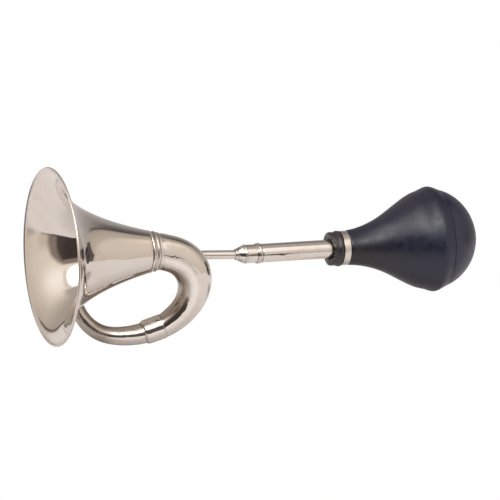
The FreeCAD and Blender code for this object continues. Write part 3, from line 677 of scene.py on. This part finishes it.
# ---------------------------------------------------------------- materials
def nickel(name, ring=None, wave=1.0, brush=1.0, dents=0.0, matt=0.0, reflection_line=None, side=0.0):
    """Polished nickel plate over brass. ring is the direction across the polishing lines.
    Its table of points paints a thin dark line below y = side, a painted reflection of a dark line in the room: (x, z,
    half width, depth of colour) in mm."""
    m, g, b, pos = material(name)
    cloud = g.noise(pos, 38.0, 3.0, 0.55)
    stain = g.noise(pos, 95.0, 4.0, 0.6, 0.6)
    fine = g.noise(pos, 900.0, 3.0, 0.6)
    grime_and_shade = g.attr("grime_and_shade")
    warm = g.mul(g.step(stain, 0.50, 0.78), g.step(cloud, 0.40, 0.68))
    col = g.mix(g.step(cloud, 0.35, 0.7), (0.815, 0.760, 0.712), (0.785, 0.722, 0.660))
    col = g.mix(g.mul(warm, 0.75), col, (0.66, 0.565, 0.465))
    # darker and browner where marked: dirt at joints and in grooves, darker along the inside of the loop, and painted
    # shade on the crook beside the bell
    col = g.mix(g.mul(grime_and_shade, g.step(cloud, 0.30, 0.66, 0.62, 1.0)), col, (0.20, 0.145, 0.095))
    # painted shade: grey darkening on the rim's far side, a strip low on the bell, the second bead and the cone's thin
    # end
    col = g.mix(g.attr("shade_band"), col, (0.20, 0.185, 0.175))
    # painted reflection: a thin dark line standing for a dark line in the room mirrored in the metal
    if reflection_line:
        xyz = g.new("ShaderNodeSeparateXYZ")
        g.put(xyz.inputs[0], pos)
        x0, x1 = reflection_line[0][0], reflection_line[-1][0]
        t = g.step(xyz.outputs[0], x0 * MM, x1 * MM, smooth=False)
        zs, ws, ds = (
            g.curve(t, [((q[0] - x0) / (x1 - x0), (q[k] + off) / div) for q in reflection_line], smooth=False)
            for k, off, div in ((1, 20.0, 40.0), (2, 0.0, 2.0), (3, 0.0, 1.0))
        )
        zs = g.m("MULTIPLY_ADD", zs, 40.0, -20.0)
        zs = g.add(zs, g.mul(g.sub(g.noise(pos, 700.0, 2.0, 0.6), 0.5), 0.5))
        off = g.m("ABSOLUTE", g.sub(g.mul(xyz.outputs[2], 1000.0), zs))
        reflection_mask = g.step(g.m("DIVIDE", off, g.mul(ws, 2.0)), 0.45, 1.0, 1.0, 0.0)
        reflection_mask = g.mul(reflection_mask, ds, g.m("LESS_THAN", xyz.outputs[1], side * MM))
        reflection_mask = g.mul(reflection_mask, g.m("GREATER_THAN", xyz.outputs[0], x0 * MM), g.m("LESS_THAN", xyz.outputs[0], x1 * MM))
        col = g.mix(reflection_mask, col, (0.075, 0.055, 0.040))
    g.put(b.inputs["Base Color"], col)
    b.inputs["Metallic"].default_value = 1.0
    rough = g.add(g.step(cloud, 0.35, 0.7, 0.055, 0.10), g.mul(g.step(fine, 0.5, 0.75), 0.045))
    rough = g.add(rough, g.mul(g.attr("dull"), 0.24))
    rough = g.add(rough, g.mul(warm, 0.07))
    rough = g.add(rough, g.mul(grime_and_shade, 0.25))
    if matt:
        rough = g.add(rough, matt)
    g.put(b.inputs["Roughness"], rough)
    h = g.add(g.mul(g.noise(pos, 120.0, 1.0, 0.5), 0.00007 * wave), g.mul(g.noise(pos, 45.0, 0.0, 0.5), 0.00012 * wave))
    if dents:
        where = g.step(g.noise(pos, 60.0, 1.0, 0.5), 0.42, 0.62, 0.25, 1.0)
        h = g.add(h, g.mul(g.noise(pos, 230.0, 1.5, 0.5), where, 0.00011 * dents))
    nrm = g.bump(h, 1.0)
    if ring is not None:
        lines = g.noise(g.scaled(pos, *ring), 1.0, 2.0, 0.7)
        nrm = g.bump(g.mul(lines, 0.0000035 * brush), 1.0, 1.0, nrm)
    scratch = g.noise(g.scaled(pos, 2600.0, 240.0, 240.0), 1.0, 2.0, 0.6)
    nrm = g.bump(g.mul(g.step(scratch, 0.66, 0.74), -0.0000022), 1.0, 1.0, nrm)
    g.put(b.inputs["Normal"], nrm)
    return m


def rubber(name, base, bloom, rough, spec, grain, lump=0.0, brown=None):
    """Moulded rubber with a bloom on it. brown is the colour where the bloom has worn off."""
    m, g, b, pos = material(name)
    cloud = g.noise(pos, 26.0, 3.0, 0.55)
    spots = g.noise(pos, 210.0, 4.0, 0.65)
    dust = g.noise(pos, 1500.0, 2.0, 0.7)
    f = g.add(g.mul(g.step(cloud, 0.36, 0.68), 0.55), g.mul(g.step(spots, 0.42, 0.72), 0.35))
    f = g.add(f, g.mul(g.step(dust, 0.62, 0.8), 0.2))
    col = g.mix(f, base, bloom)
    if brown:
        xyz = g.new("ShaderNodeSeparateXYZ")
        g.put(xyz.inputs[0], pos)
        worn = g.step(g.noise(g.scaled(pos, 11.0, 17.0, 17.0), 1.0, 4.0, 0.6, 0.4), 0.52, 0.68)
        hand = g.mul(g.step(xyz.outputs[0], 0.050, 0.080, 0.9, 0.0), g.step(xyz.outputs[2], 0.001, 0.012, 1.0, 0.15))
        col = g.mix(g.m("MAXIMUM", g.mul(worn, 0.3), hand), col, brown)
        # scuffed where it was gripped, and painted highlight: the lighter streaks sit where the bulb's sheen falls
        away = g.new("ShaderNodeVectorMath")
        away.operation = "DISTANCE"
        g.put(away.inputs[0], pos)
        away.inputs[1].default_value = (0.088, -0.024, 0.022)
        scuff_and_sheen = g.noise(g.scaled(pos, 90.0, 420.0, 420.0), 1.0, 4.0, 0.7, 0.5)
        scuff_and_sheen = g.mul(g.step(away.outputs["Value"], 0.003, 0.015, 1.0, 0.0), g.step(scuff_and_sheen, 0.42, 0.66))
        col = g.mix(g.mul(scuff_and_sheen, 0.4), col, (0.050, 0.048, 0.060))
    # darker where marked: the bush's joint round the tube and its lip step
    grime_and_shade = g.attr("grime_and_shade")
    col = g.mix(grime_and_shade, col, tuple(0.45 * c for c in base))
    g.put(b.inputs["Base Color"], col)
    b.inputs["Specular IOR Level"].default_value = spec
    r = g.add(g.step(spots, 0.35, 0.7, rough - 0.05, rough + 0.06), g.mul(g.step(cloud, 0.4, 0.7), 0.05))
    g.put(b.inputs["Roughness"], r)
    h = g.add(g.mul(g.noise(pos, 1300.0, 3.0, 0.6), grain), g.mul(spots, grain * 3.0))
    if lump:
        h = g.add(h, g.mul(g.noise(pos, 420.0, 3.0, 0.6, 0.8), lump))
    g.put(b.inputs["Normal"], g.bump(h, 1.0))
    return m


def bare_metal(name, base, tint, rough, lines):
    m, g, b, pos = material(name)
    cloud = g.noise(pos, 160.0, 3.0, 0.6)
    turned = g.noise(g.scaled(pos, *lines), 1.0, 2.0, 0.7)
    g.put(b.inputs["Base Color"], g.mix(g.step(cloud, 0.35, 0.72), base, tint))
    b.inputs["Metallic"].default_value = 1.0
    g.put(b.inputs["Roughness"], g.step(cloud, 0.3, 0.75, rough, rough + 0.2))
    g.put(b.inputs["Normal"], g.bump(g.mul(turned, 0.000006), 1.0))
    return m


def seams(obj, f, name="grime_and_shade"):
    """Marks on each vertex how dirty or how shaded (painted shade), or how dull, its place is; f takes mm coordinates.
    """
    me = obj.data
    co = np.zeros(len(me.vertices) * 3)
    me.vertices.foreach_get("co", co)
    co = co.reshape(-1, 3)
    v = np.clip(f(co / MM), 0, 1) if f is not None else np.zeros(len(co))
    at = me.attributes.new(name, "FLOAT", "POINT")
    at.data.foreach_set("value", v.astype(np.float32))


def near(v, at, width):
    """1 at v = at, falling to 0 at width on either side."""
    return np.clip(1 - np.abs(v - at) / width, 0, 1) ** 1.5


def inner_side(c, stations, centre):
    """How far a bent tube's surface faces the middle of its loop: 1 on its inside line."""
    line = np.asarray([q[:3] for q in stations], float)
    t = np.linspace(0, len(line) - 1, 400)
    path = np.stack([np.interp(t, np.arange(len(line)), line[:, k]) for k in range(3)], 1)
    out = np.zeros(len(c))
    for lo in range(0, len(c), 4000):
        part = c[lo:lo + 4000]
        i = np.argmin(((part[:, None, :] - path[None]) ** 2).sum(2), 1)
        u, w = part - path[i], np.asarray(centre) - path[i]
        out[lo:lo + 4000] = (u * w).sum(1) / (np.linalg.norm(u, axis=1) * np.linalg.norm(w, axis=1) + 1e-9)
    return out


def bell_r(c):
    return np.hypot(c[:, 1] - BELL_AXIS[0], c[:, 2] - BELL_AXIS[1])


NICKEL = nickel("nickel_spun", ring=(2400.0, 60.0, 60.0), wave=0.5, brush=1.0)
# The thin dark lines given for the drawn tube, the socket, the thin pipe and the bent loop are painted reflections.
NICKEL_TUBE = nickel("nickel_drawn", ring=(140.0, 1500.0, 1500.0), wave=1.0, brush=0.6, side=-3.0, reflection_line=[
    (-23.5, -0.95, 0.5, 0.6), (-19.0, -0.85, 0.68, 0.85), (-13.0, -0.85, 0.68, 0.88), (-10.5, -1.0, 0.95, 0.95),
    (-8.6, -1.25, 0.9, 0.95), (-7.0, -0.85, 0.7, 0.8), (-3.0, -0.7, 0.5, 0.55), (1.0, -0.6, 0.45, 0.3),
    (27.0, -0.6, 0.5, 0.3),
])
NICKEL_SOCKET = nickel("nickel_socket", ring=(2400.0, 60.0, 60.0), wave=0.5, brush=1.0, side=-3.0, reflection_line=[
    (-35.6, -0.5, 0.75, 0.7), (-33.0, -0.42, 0.98, 0.8), (-28.6, -0.32, 1.05, 0.8), (-27.0, -0.4, 0.95, 0.75),
    (-24.0, -0.7, 0.7, 0.65),
])
NICKEL_PIPE = nickel("nickel_pipe", ring=(140.0, 1500.0, 1500.0), wave=0.8, brush=0.6, side=-1.2, reflection_line=[
    (-84.0, 1.65, 0.3, 0.0), (-76.0, 1.25, 0.36, 0.45), (-64.0, 0.62, 0.42, 0.62), (-51.0, -0.09, 0.42, 0.62),
    (-45.5, -0.4, 0.4, 0.6), (-44.0, -0.45, 0.3, 0.3),
])
NICKEL_BOW = nickel("nickel_bent", ring=None, wave=1.2, dents=1.5, side=-35.0, reflection_line=[
    (-111.0, 9.3, 0.35, 0.6), (-107.0, 8.8, 0.42, 0.7), (-104.0, 7.5, 0.72, 1.0), (-101.8, 8.3, 0.6, 0.9),
    (-100.2, 6.8, 0.7, 0.95), (-98.8, 7.2, 0.5, 0.8), (-96.0, 6.0, 0.4, 0.55), (-94.5, 5.2, 0.2, 0.0),
])
NICKEL_BAND = nickel("nickel_band", ring=(3000.0, 60.0, 60.0), wave=0.7, brush=3.0, matt=0.13)
BULB = rubber("rubber_bulb", (0.0048, 0.0062, 0.0215), (0.013, 0.015, 0.042), 0.37, 0.62, 0.0000060,
              brown=(0.0080, 0.0066, 0.0090))
DOME = rubber("rubber_rear", (0.0070, 0.0094, 0.0310), (0.019, 0.024, 0.062), 0.37, 0.62, 0.0000060,
              brown=(0.0080, 0.0066, 0.0090))
BUSH = rubber("rubber_bush", (0.008, 0.007, 0.0125), (0.046, 0.034, 0.033), 0.34, 0.72, 0.000012, 0.00022)
BRASS = bare_metal("brass_bare", (0.72, 0.54, 0.26), (0.50, 0.35, 0.17), 0.25, (3000.0, 200.0, 200.0))
REED = bare_metal("brass_reed", (0.78, 0.61, 0.32), (0.62, 0.46, 0.24), 0.18, (200.0, 3000.0, 200.0))
WIRE = bare_metal("wire_drawn", (0.50, 0.50, 0.50), (0.30, 0.26, 0.23), 0.35, (200.0, 200.0, 200.0))

for o, mat in (
    (bell, NICKEL), (collar, NICKEL), (bow, NICKEL_BOW), (ferrule, NICKEL_BOW), (crook, NICKEL_BOW),
    (sleeve, NICKEL_PIPE), (pipe, NICKEL_PIPE), (cone, NICKEL), (socket, NICKEL_SOCKET), (tube, NICKEL_TUBE),
    (band, NICKEL_BAND), (bush, BUSH), (skin, BULB), (dome, DOME),
):
    o.data.materials.append(mat)
fd = FERRULE_DIR
for o, f in (
    (bell, lambda c: 0.55 * near(c[:, 0], -118.3, 0.9)),
    (collar, lambda c: 0.8 * near(c[:, 0], -118.15, 0.35) + 0.55 * near(c[:, 0], -115.7, 0.7)
     + 0.55 * near(c[:, 0], -114.6, 0.5) + 0.9 * near(c[:, 0], -112.2, 0.75) + 0.25 * near(c[:, 0], -110.25, 0.35)),
    # loop: darker at the collar and ferrule joints, and darker and browner along the inside of the loop
    (bow, lambda c: 0.3 * near(c[:, 0] + 0.12 * (c[:, 2] - 10), -110.0, 0.9) * (c[:, 2] > -10)
     + 0.6 * near((c - np.array((-103.32, -17.53, -45.6))) @ fd, -0.3, 0.9) * (c[:, 2] < -30)
     + 0.55 * np.clip((inner_side(c, BOW, (-128.0, -19.0, -20.0)) - 0.3) / 0.35, 0, 1)),
    (ferrule, lambda c: 0.7 * near((c - np.array((-103.32, -17.53, -45.6))) @ fd, 0.0, 0.35)
     + 0.75 * near((c - np.array((-103.32, -17.53, -45.6))) @ fd, 14.0, 0.6)),
    # crook: darker at the ferrule joint and along its inside, and painted shade towards the bell, standing for the
    # bell's shadow and dark reflection
    (crook, lambda c: 0.7 * near((c - np.array((-103.32, -17.53, -45.6))) @ fd, 14.6, 1.0) * (c[:, 2] < -40)
     + 0.3 * np.clip((inner_side(c, CROOK, (-128.0, -19.0, -20.0)) - 0.35) / 0.3, 0, 1)
     + 0.55 * np.clip((-138.0 - c[:, 0]) / 10.0, 0, 1)),
    (sleeve, None),
    (pipe, lambda c: 0.5 * near(c[:, 0], -44.0, 1.2)),
    (cone, lambda c: 0.45 * near(c[:, 0], -41.3, 0.5) + 0.75 * near(c[:, 0], -36.75, 0.3) + 0.8 * near(c[:, 0], -35.3, 0.35)),
    (socket, lambda c: 0.8 * near(c[:, 0], -35.3, 0.35) + 0.75 * near(c[:, 0], -27.75, 0.35) + 0.85 * near(c[:, 0], -23.9, 0.4)
     + 0.22 * ((c[:, 0] > -27.75) & (np.hypot(c[:, 1], c[:, 2]) > 6.9))),
    (tube, lambda c: 0.8 * near(c[:, 0], -23.6, 0.45) + 0.5 * near(c[:, 0], 27.2, 0.9)),
    (band, lambda c: 0.5 * near(c[:, 0], 35.65, 0.35) + 0.6 * near(c[:, 0], 40.35, 0.3)),
    (bush, lambda c: 0.7 * near(np.hypot(c[:, 1], c[:, 2]), 6.7, 0.6) + 0.7 * near(c[:, 0], 31.5, 0.35)),
    (skin, lambda c: np.zeros(len(c))),
    (dome, lambda c: np.zeros(len(c))),
):
    seams(o, f)
for o, f in (
    (bell, lambda c: 0.8 * np.clip((-188.3 - c[:, 0]) / 0.5, 0, 1) + 0.6 * (bell_r(c) > 61.75)),
    (collar, lambda c: 0.6 + 0.4 * np.clip((c[:, 0] + 116.4) / 0.6, 0, 1)),
    (cone, lambda c: 0.35 + 0.65 * np.clip((-39.0 - c[:, 0]) / 3.0, 0, 1)),
    (socket, lambda c: np.full(len(c), 0.3)),
):
    seams(o, f, "dull")
# painted shade: the rolled edge is darkened on its far side, and so is a strip low on the bell's outside
seams(bell, lambda c: 0.86 * np.clip((bell_r(c) - 61.6) / 0.2, 0, 1) * np.clip((c[:, 1] - 2.0) / 16.0, 0, 1)
      + 0.75 * near((c[:, 2] - BELL_AXIS[1]) / bell_r(c), -0.73, 0.11) * (c[:, 1] < BELL_AXIS[0])
      * np.clip((-125.0 - c[:, 0]) / 4.0, 0, 1) * np.clip((c[:, 0] + 155.0) / 4.0, 0, 1), "shade_band")
# painted shade: the second bead and the thin end of the cone are darkened, which dims their highlights
seams(collar, lambda c: 0.5 * near(c[:, 0], -114.6, 2.2) * np.clip((c[:, 2] - 8.0) / 4.0, 0, 1), "shade_band")
seams(cone, lambda c: 0.65 * np.clip((-39.3 - c[:, 0]) / 1.2, 0, 1) * np.clip((c[:, 2] + 0.5) / 1.0, 0, 1), "shade_band")
for o in bpy.context.scene.objects:
    if o.type == "MESH" and not o.hide_render and o not in (
        bell, collar, bow, ferrule, crook, sleeve, pipe, cone, socket, tube, band, bush, skin, dome
    ):
        mat = REED if "tongue" in o.name and "wedge" not in o.name else WIRE if "wire" in o.name else BRASS
        for place in o.material_slots:
            place.material = mat

# ---------------------------------------------------------------- studio
# The room is a world: a white box light high in front, a dark opening below it where the
# camera stands, warm walls, a grey one on the right, a pale sweep below. a is the azimuth in
# degrees from the camera's, positive towards the bell's side; e is the height in degrees.
scene.view_settings.view_transform = "Standard"
scene.view_settings.look = "None"
world = bpy.data.worlds.new("studio")
scene.world = world
world.use_nodes = True
g = Graph(world.node_tree)
out = world.node_tree.nodes["World Output"]
bg = world.node_tree.nodes["Background"]
sep = g.new("ShaderNodeSeparateXYZ")
g.put(sep.inputs[0], g.new("ShaderNodeTexCoord").outputs["Generated"])
dx, dy, dz = sep.outputs
ca, sa = math.cos(math.radians(161.2)), math.sin(math.radians(161.2))
ax = g.add(g.mul(dx, ca), g.mul(dy, sa))
ay = g.sub(g.mul(dy, ca), g.mul(dx, sa))
A = g.mul(g.m("ARCTAN2", ax, ay), 57.29578)
E = g.mul(g.m("ARCSINE", g.m("MINIMUM", g.m("MAXIMUM", dz, -1.0), 1.0)), 57.29578)
AX = g.m("MULTIPLY_ADD", A, 1 / 360.0, 0.5)


def at(a):
    return (a + 180.0) / 360.0


def up_curve(points):
    """A value over the height e, given as (degrees, value) pairs with values up to 2."""
    n = g.curve(g.m("MULTIPLY_ADD", E, 1 / 180.0, 0.5), [((e + 90.0) / 180.0, v / 2.0) for e, v in points])
    return g.mul(n, 2.0)


BEIGE = (1.10, 0.985, 0.865)
GREY = (1.05, 0.985, 0.965)
PALE = (1.04, 0.995, 0.97)
# walls: brightness round the room and up, and its tint
level = g.curve(AX, [
    (0.0, 0.40), (at(-154), 0.38), (at(-132), 0.37), (at(-124), 0.44), (at(-114), 0.47), (at(-104), 0.53),
    (at(-96), 0.68), (at(-70), 0.75), (at(-20), 0.77), (at(41), 0.76), (at(75), 0.72), (at(101), 0.65),
    (at(112), 0.58), (at(121), 0.51), (at(141), 0.41), (1.0, 0.40),
])
open_side = up_curve([(-90, 0.8), (-20, 0.80), (0, 0.88), (15, 0.95), (30, 1.0), (42, 1.17), (50, 1.32),
                      (56, 1.25), (61, 0.7), (66, 0.62), (90, 0.62)])
far_side = up_curve([(-90, 1.9), (-14, 1.9), (0, 1.38), (6, 1.25), (12, 1.13), (18, 1.0), (30, 0.82), (42, 0.57),
                     (54, 0.55), (64, 0.85), (75, 1.0), (90, 1.0)])
left_of = g.mul(g.step(A, -104.0, -88.0), g.step(A, -40.0, -20.0, 1.0, 0.0))
behind = g.m("MAXIMUM", g.step(A, 150.0, 168.0), g.step(A, -134.0, -122.0, 1.0, 0.0))
level = g.mul(level, g.add(g.inv(left_of), g.mul(left_of, open_side)))
level = g.mul(level, g.add(g.inv(behind), g.mul(behind, far_side)))
tint = g.mix(g.step(A, -132.0, -118.0), GREY, BEIGE)
tint = g.mix(g.mul(g.step(A, -75.0, -50.0), g.step(A, -20.0, 0.0, 1.0, 0.0)), tint, (1.075, 0.995, 0.92))
col = g.mix(1.0, tint, g.mix(level, (0, 0, 0), (1, 1, 1)), "MULTIPLY")
# soft glow beside the box light
glow = g.mul(
    g.step(g.m("ABSOLUTE", g.sub(A, 62.0)), 6.0, 55.0, 1.0, 0.0),
    g.step(g.m("ABSOLUTE", g.sub(E, 35.0)), 3.0, 32.0, 1.0, 0.0),
)
col = g.mix(g.mul(glow, 0.95), col, (1.12, 1.055, 0.985))
# soft dark patch on the grey wall, and the dark edge where it meets the warm one
patch = g.mul(
    g.step(g.m("ABSOLUTE", g.add(A, 138.0)), 2.0, 21.0, 1.0, 0.0),
    g.step(g.m("ABSOLUTE", g.sub(E, 40.0)), 1.0, 17.0, 1.0, 0.0),
)
col = g.mix(g.mul(patch, 0.72), col, (0.10, 0.085, 0.08))
shade_band = g.mul(
    g.step(g.m("ABSOLUTE", g.add(A, g.step(E, 25.0, 44.0, 126.0, 132.0))), 1.2, 4.5, 1.0, 0.0),
    g.step(E, 14.0, 27.0), g.step(E, 48.0, 60.0, 1.0, 0.0),
)
col = g.mix(g.mul(shade_band, 0.85), col, (0.08, 0.065, 0.055))
# ceiling
ceil = g.mul(g.step(E, 58.0, 68.0), g.step(g.m("ABSOLUTE", A), 60.0, 105.0))
col = g.mix(ceil, col, (0.46, 0.42, 0.415))
top = g.step(E, 66.0, 80.0)
col = g.mix(g.mul(top, 0.8), col, (0.48, 0.44, 0.435))
# standing dark shape on the right
stand = g.add(g.m("DIVIDE", g.m("ABSOLUTE", g.add(A, 118.0)), 16.0), g.m("MAXIMUM", g.m("DIVIDE", E, 11.5), g.m("DIVIDE", E, -25.0)))
stand = g.mul(g.step(stand, 0.84, 1.06, 1.0, 0.0), g.step(A, -127.0, -122.0), g.step(E, -13.0, -10.0))
col = g.mix(g.mul(stand, 0.95), col, (0.098, 0.076, 0.064))
# white strip left of the camera, leaning with height
lean = g.step(E, 28.0, 64.0, 40.0, 53.0)
strip = g.mul(
    g.step(g.m("ABSOLUTE", g.add(A, lean)), 5.0, 10.0, 1.0, 0.0),
    g.step(E, 10.0, 34.0), g.step(E, 60.0, 72.0, 1.0, 0.0),
)
col = g.mix(g.mul(strip, 0.85), col, (1.22, 1.16, 1.12))
# box light, with a soft lower edge on its far side
front = g.m("MAXIMUM", A, 0.0)
low = g.m("MULTIPLY_ADD", g.curve(AX, [
    (0.0, 0.22), (at(0), 0.22), (at(15), 0.235), (at(25), 0.275), (at(35), 0.335), (at(45), 0.405),
    (at(55), 0.475), (at(65), 0.525), (at(75), 0.565), (at(85), 0.60), (at(95), 0.64), (1.0, 0.7),
]), 100.0, 0.0)
high = g.m("MULTIPLY_ADD", front, 0.32, 53.0)
sides = g.mul(g.step(A, -32.0, -26.0), g.step(A, 82.0, 89.0, 1.0, 0.0))
over = g.sub(E, low)
frame_band = g.mul(g.step(over, -8.0, -4.0), g.step(over, -1.0, 1.5, 1.0, 0.0), g.step(A, 33.0, 42.0), g.step(A, 78.0, 90.0, 1.0, 0.0))
box = g.mul(g.step(over, -1.0, 3.0), g.step(g.sub(E, high), -2.0, 4.0, 1.0, 0.0), sides)
aside = g.mul(g.step(E, 46.0, 56.0), g.step(A, 84.0, 92.0))
# dark opening round the camera, in a half-dark surround on its far side
core_edge = g.m("MULTIPLY_ADD", E, -0.25, 38.5)
half_edge = g.m("MULTIPLY_ADD", g.m("MAXIMUM", E, 0.0), -0.35, g.m("MULTIPLY_ADD", E, -0.35, 50.5))
core_roof = g.m("MULTIPLY_ADD", g.m("MINIMUM", front, 15.0), -0.35, 18.5)
half_roof = g.m("MULTIPLY_ADD", g.m("MAXIMUM", g.sub(A, 25.0), 0.0), -0.22, 24.5)
near_side = g.step(A, -32.0, -28.0)
core = g.mul(g.step(g.sub(A, core_edge), -4.0, 3.5, 1.0, 0.0), near_side, g.step(g.sub(E, core_roof), -2.0, 2.5, 1.0, 0.0))
half = g.mul(g.step(g.sub(A, half_edge), -4.0, 7.0, 1.0, 0.0), g.step(A, 4.0, 12.0), g.step(g.sub(E, half_roof), -2.5, 1.5, 1.0, 0.0))
dim = g.mix(g.step(A, -22.0, 2.0), (0.115, 0.098, 0.090), (0.056, 0.045, 0.043))
dim = g.mix(g.step(A, 24.0, 36.0), dim, (0.078, 0.060, 0.054))
low_wall = g.mul(g.step(A, 44.0, 56.0), g.step(A, 70.0, 88.0, 1.0, 0.0), g.step(E, -2.0, -14.0, 0.0, 1.0))
col = g.mix(g.mul(aside, 0.85), col, (0.44, 0.40, 0.36))
col = g.mix(g.mul(frame_band, 0.8), col, (0.76, 0.68, 0.60))
col = g.mix(g.mul(low_wall, 0.7), col, (0.56, 0.48, 0.41))
col = g.mix(g.mul(half, 0.93), col, (0.225, 0.18, 0.155))
col = g.mix(core, col, dim)
col = g.mix(box, col, (1.55, 1.54, 1.50))
heart = g.mul(
    g.step(over, 3.0, 13.0), g.step(g.sub(E, high), -12.0, -2.0, 1.0, 0.0),
    g.step(A, -26.0, -12.0), g.step(A, 58.0, 84.0, 1.0, 0.0),
)
col = g.mix(heart, col, (5.9, 5.87, 5.8))
# pale ground below, and its edge
rim = g.curve(AX, [
    (0.0, 0.50), (at(-170), 0.42), (at(-150), 0.40), (at(-125), 0.41), (at(-100), 0.415), (at(-75), 0.42),
    (at(-60), 0.43), (at(-47), 0.43), (at(-43), 0.37), (at(-36), 0.35), (at(-10), 0.30), (at(31), 0.305), (at(44), 0.322), (at(51), 0.333), (at(58), 0.344),
    (at(65), 0.361), (at(73), 0.378), (at(80), 0.389), (at(87), 0.400), (at(95), 0.408), (at(107), 0.422),
    (at(115), 0.44), (at(120), 0.525), (at(124), 0.533), (at(137), 0.539), (at(150), 0.55), (1.0, 0.52),
], smooth=False)
rim = g.m("MULTIPLY_ADD", rim, 180.0, -90.0)
d = g.sub(E, rim)
wedge = g.mul(
    g.step(A, 36.0, 44.0), g.step(A, 62.0, 82.0, 1.0, 0.0),
    g.step(d, -0.5, 0.3), g.step(g.sub(d, g.step(A, 40.0, 78.0, 4.6, 1.1, False)), -1.3, 1.3, 1.0, 0.0),
)
col = g.mix(g.mul(wedge, 0.9), col, (0.12, 0.095, 0.08))
thin = g.m("DIVIDE", g.m("ABSOLUTE", g.sub(d, 1.1)), g.m("MAXIMUM", g.step(A, 118.0, 138.0, 0.42, 0.74), g.step(A, 104.0, 116.0, 1.0, 0.0)))
line = g.mul(g.step(thin, 0.8, 2.3, 1.0, 0.0), g.m("MAXIMUM", g.step(A, 112.0, 120.0), g.mul(g.step(A, 80.0, 98.0), 0.35)))
floor_level = g.step(E, -72.0, -30.0, 0.635, 0.765)
floor_col = g.mix(1.0, PALE, g.mix(floor_level, (0, 0, 0), (1, 1, 1)), "MULTIPLY")
col = g.mix(g.step(d, -1.0, 0.3, 1.0, 0.0), col, floor_col)
col = g.mix(g.mul(line, 0.92), col, (0.085, 0.066, 0.054))
g.put(bg.inputs["Color"], col)
# what the camera sees directly is the plain white sweep
seen = g.new("ShaderNodeBackground")
seen.inputs["Color"].default_value = (1, 1, 1, 1)
pick = g.new("ShaderNodeMixShader")
g.put(pick.inputs[0], g.new("ShaderNodeLightPath").outputs["Is Camera Ray"])
g.put(pick.inputs[1], bg.outputs[0])
g.put(pick.inputs[2], seen.outputs[0])
g.put(out.inputs["Surface"], pick.outputs[0])
world.cycles.sampling_method = "MANUAL"
world.cycles.sample_map_resolution = 512

# floor: a pale sheet under the horn. The photograph has pure white all round, so the camera
# sees past the sheet, while the metal and the rubber mirror it and it takes the shadow.
floor_z = -0.086
fwd = np.array((math.sin(AZ), -math.cos(AZ)))
left = np.array((-math.cos(AZ), -math.sin(AZ)))
near_edge = [(0.223, 0.193), (0.294, 0.1775), (0.320, 0.168), (0.357, 0.158), (0.402, 0.139), (0.437, 0.113),
             (0.476, 0.080), (0.507, 0.033), (0.553, -0.060), (0.56, -0.20), (0.50, -0.36), (-0.30, -0.36),
             (-0.56, -0.26), (-0.60, 0.0), (-0.58, 0.17), (-0.50, 0.188), (-0.20, 0.190)]
pts = [tuple(left * l + fwd * f) + (floor_z,) for l, f in near_edge]
pts = pts if np.cross(np.array(pts[1]) - pts[0], np.array(pts[5]) - pts[0])[2] > 0 else pts[::-1]
me = bpy.data.meshes.new("floor")
me.from_pydata(pts, [], [tuple(range(len(pts)))])
floor = bpy.data.objects.new("floor", me)
scene.collection.objects.link(floor)
floor.visible_camera = False
m, g, b, pos = material("floor_paper")
sep = g.new("ShaderNodeSeparateXYZ")
g.put(sep.inputs[0], pos)
paper = g.noise(pos, 900.0, 3.0, 0.6)
soft = g.noise(pos, 14.0, 2.0, 0.5)
# painted shadow: the sheet is darkened under the bell and the loop
bell_shadow = g.m("SQRT", g.add(g.m("POWER", g.mul(g.add(sep.outputs[0], 0.105), 0.8), 2.0), g.m("POWER", g.sub(sep.outputs[1], 0.066), 2.0)))
bell_shadow = g.step(bell_shadow, 0.035, 0.078, 1.0, 0.0)
# painted light: a pool of glow on the sheet in front of the loop
light_pool = g.m("SQRT", g.add(g.m("POWER", g.add(sep.outputs[0], 0.112), 2.0), g.m("POWER", g.add(sep.outputs[1], 0.110), 2.0)))
light_pool = g.step(light_pool, 0.02, 0.085, 0.24, 0.0)
# painted shadow: the sheet is darkened under the bulb
bulb_shadow = g.m("SQRT", g.add(g.m("POWER", g.sub(sep.outputs[0], 0.10), 2.0), g.m("POWER", g.sub(sep.outputs[1], 0.03), 2.0)))
bulb_shadow = g.step(bulb_shadow, 0.03, 0.085, 0.5, 0.0)
tone = g.mix(paper, (0.628, 0.618, 0.634), (0.660, 0.650, 0.668))
g.put(b.inputs["Base Color"], g.mix(g.step(soft, 0.3, 0.7, 0.0, 0.12), g.mix(g.m("MAXIMUM", bulb_shadow, g.mul(bell_shadow, 0.85)), tone, (0.15, 0.115, 0.09)), (0.60, 0.575, 0.56)))
b.inputs["Roughness"].default_value = 0.9
# painted light: the sheet glows a little though it is no lamp, more away from the bell, less inside the painted
# shadows, plus the painted pool of light
b.inputs["Emission Color"].default_value = (1.0, 0.975, 0.96, 1)
away = g.m("SQRT", g.add(g.m("POWER", g.add(sep.outputs[0], 0.15), 2.0), g.m("POWER", g.add(sep.outputs[1], 0.03), 2.0)))
g.put(b.inputs["Emission Strength"], g.add(light_pool, g.mul(g.step(away, 0.05, 0.15, 0.03, 0.20), g.inv(g.m("MAXIMUM", bulb_shadow, g.mul(bell_shadow, 0.9))))))
g.put(b.inputs["Normal"], g.bump(g.mul(paper, 0.00005), 1.0))
floor.data.materials.append(m)
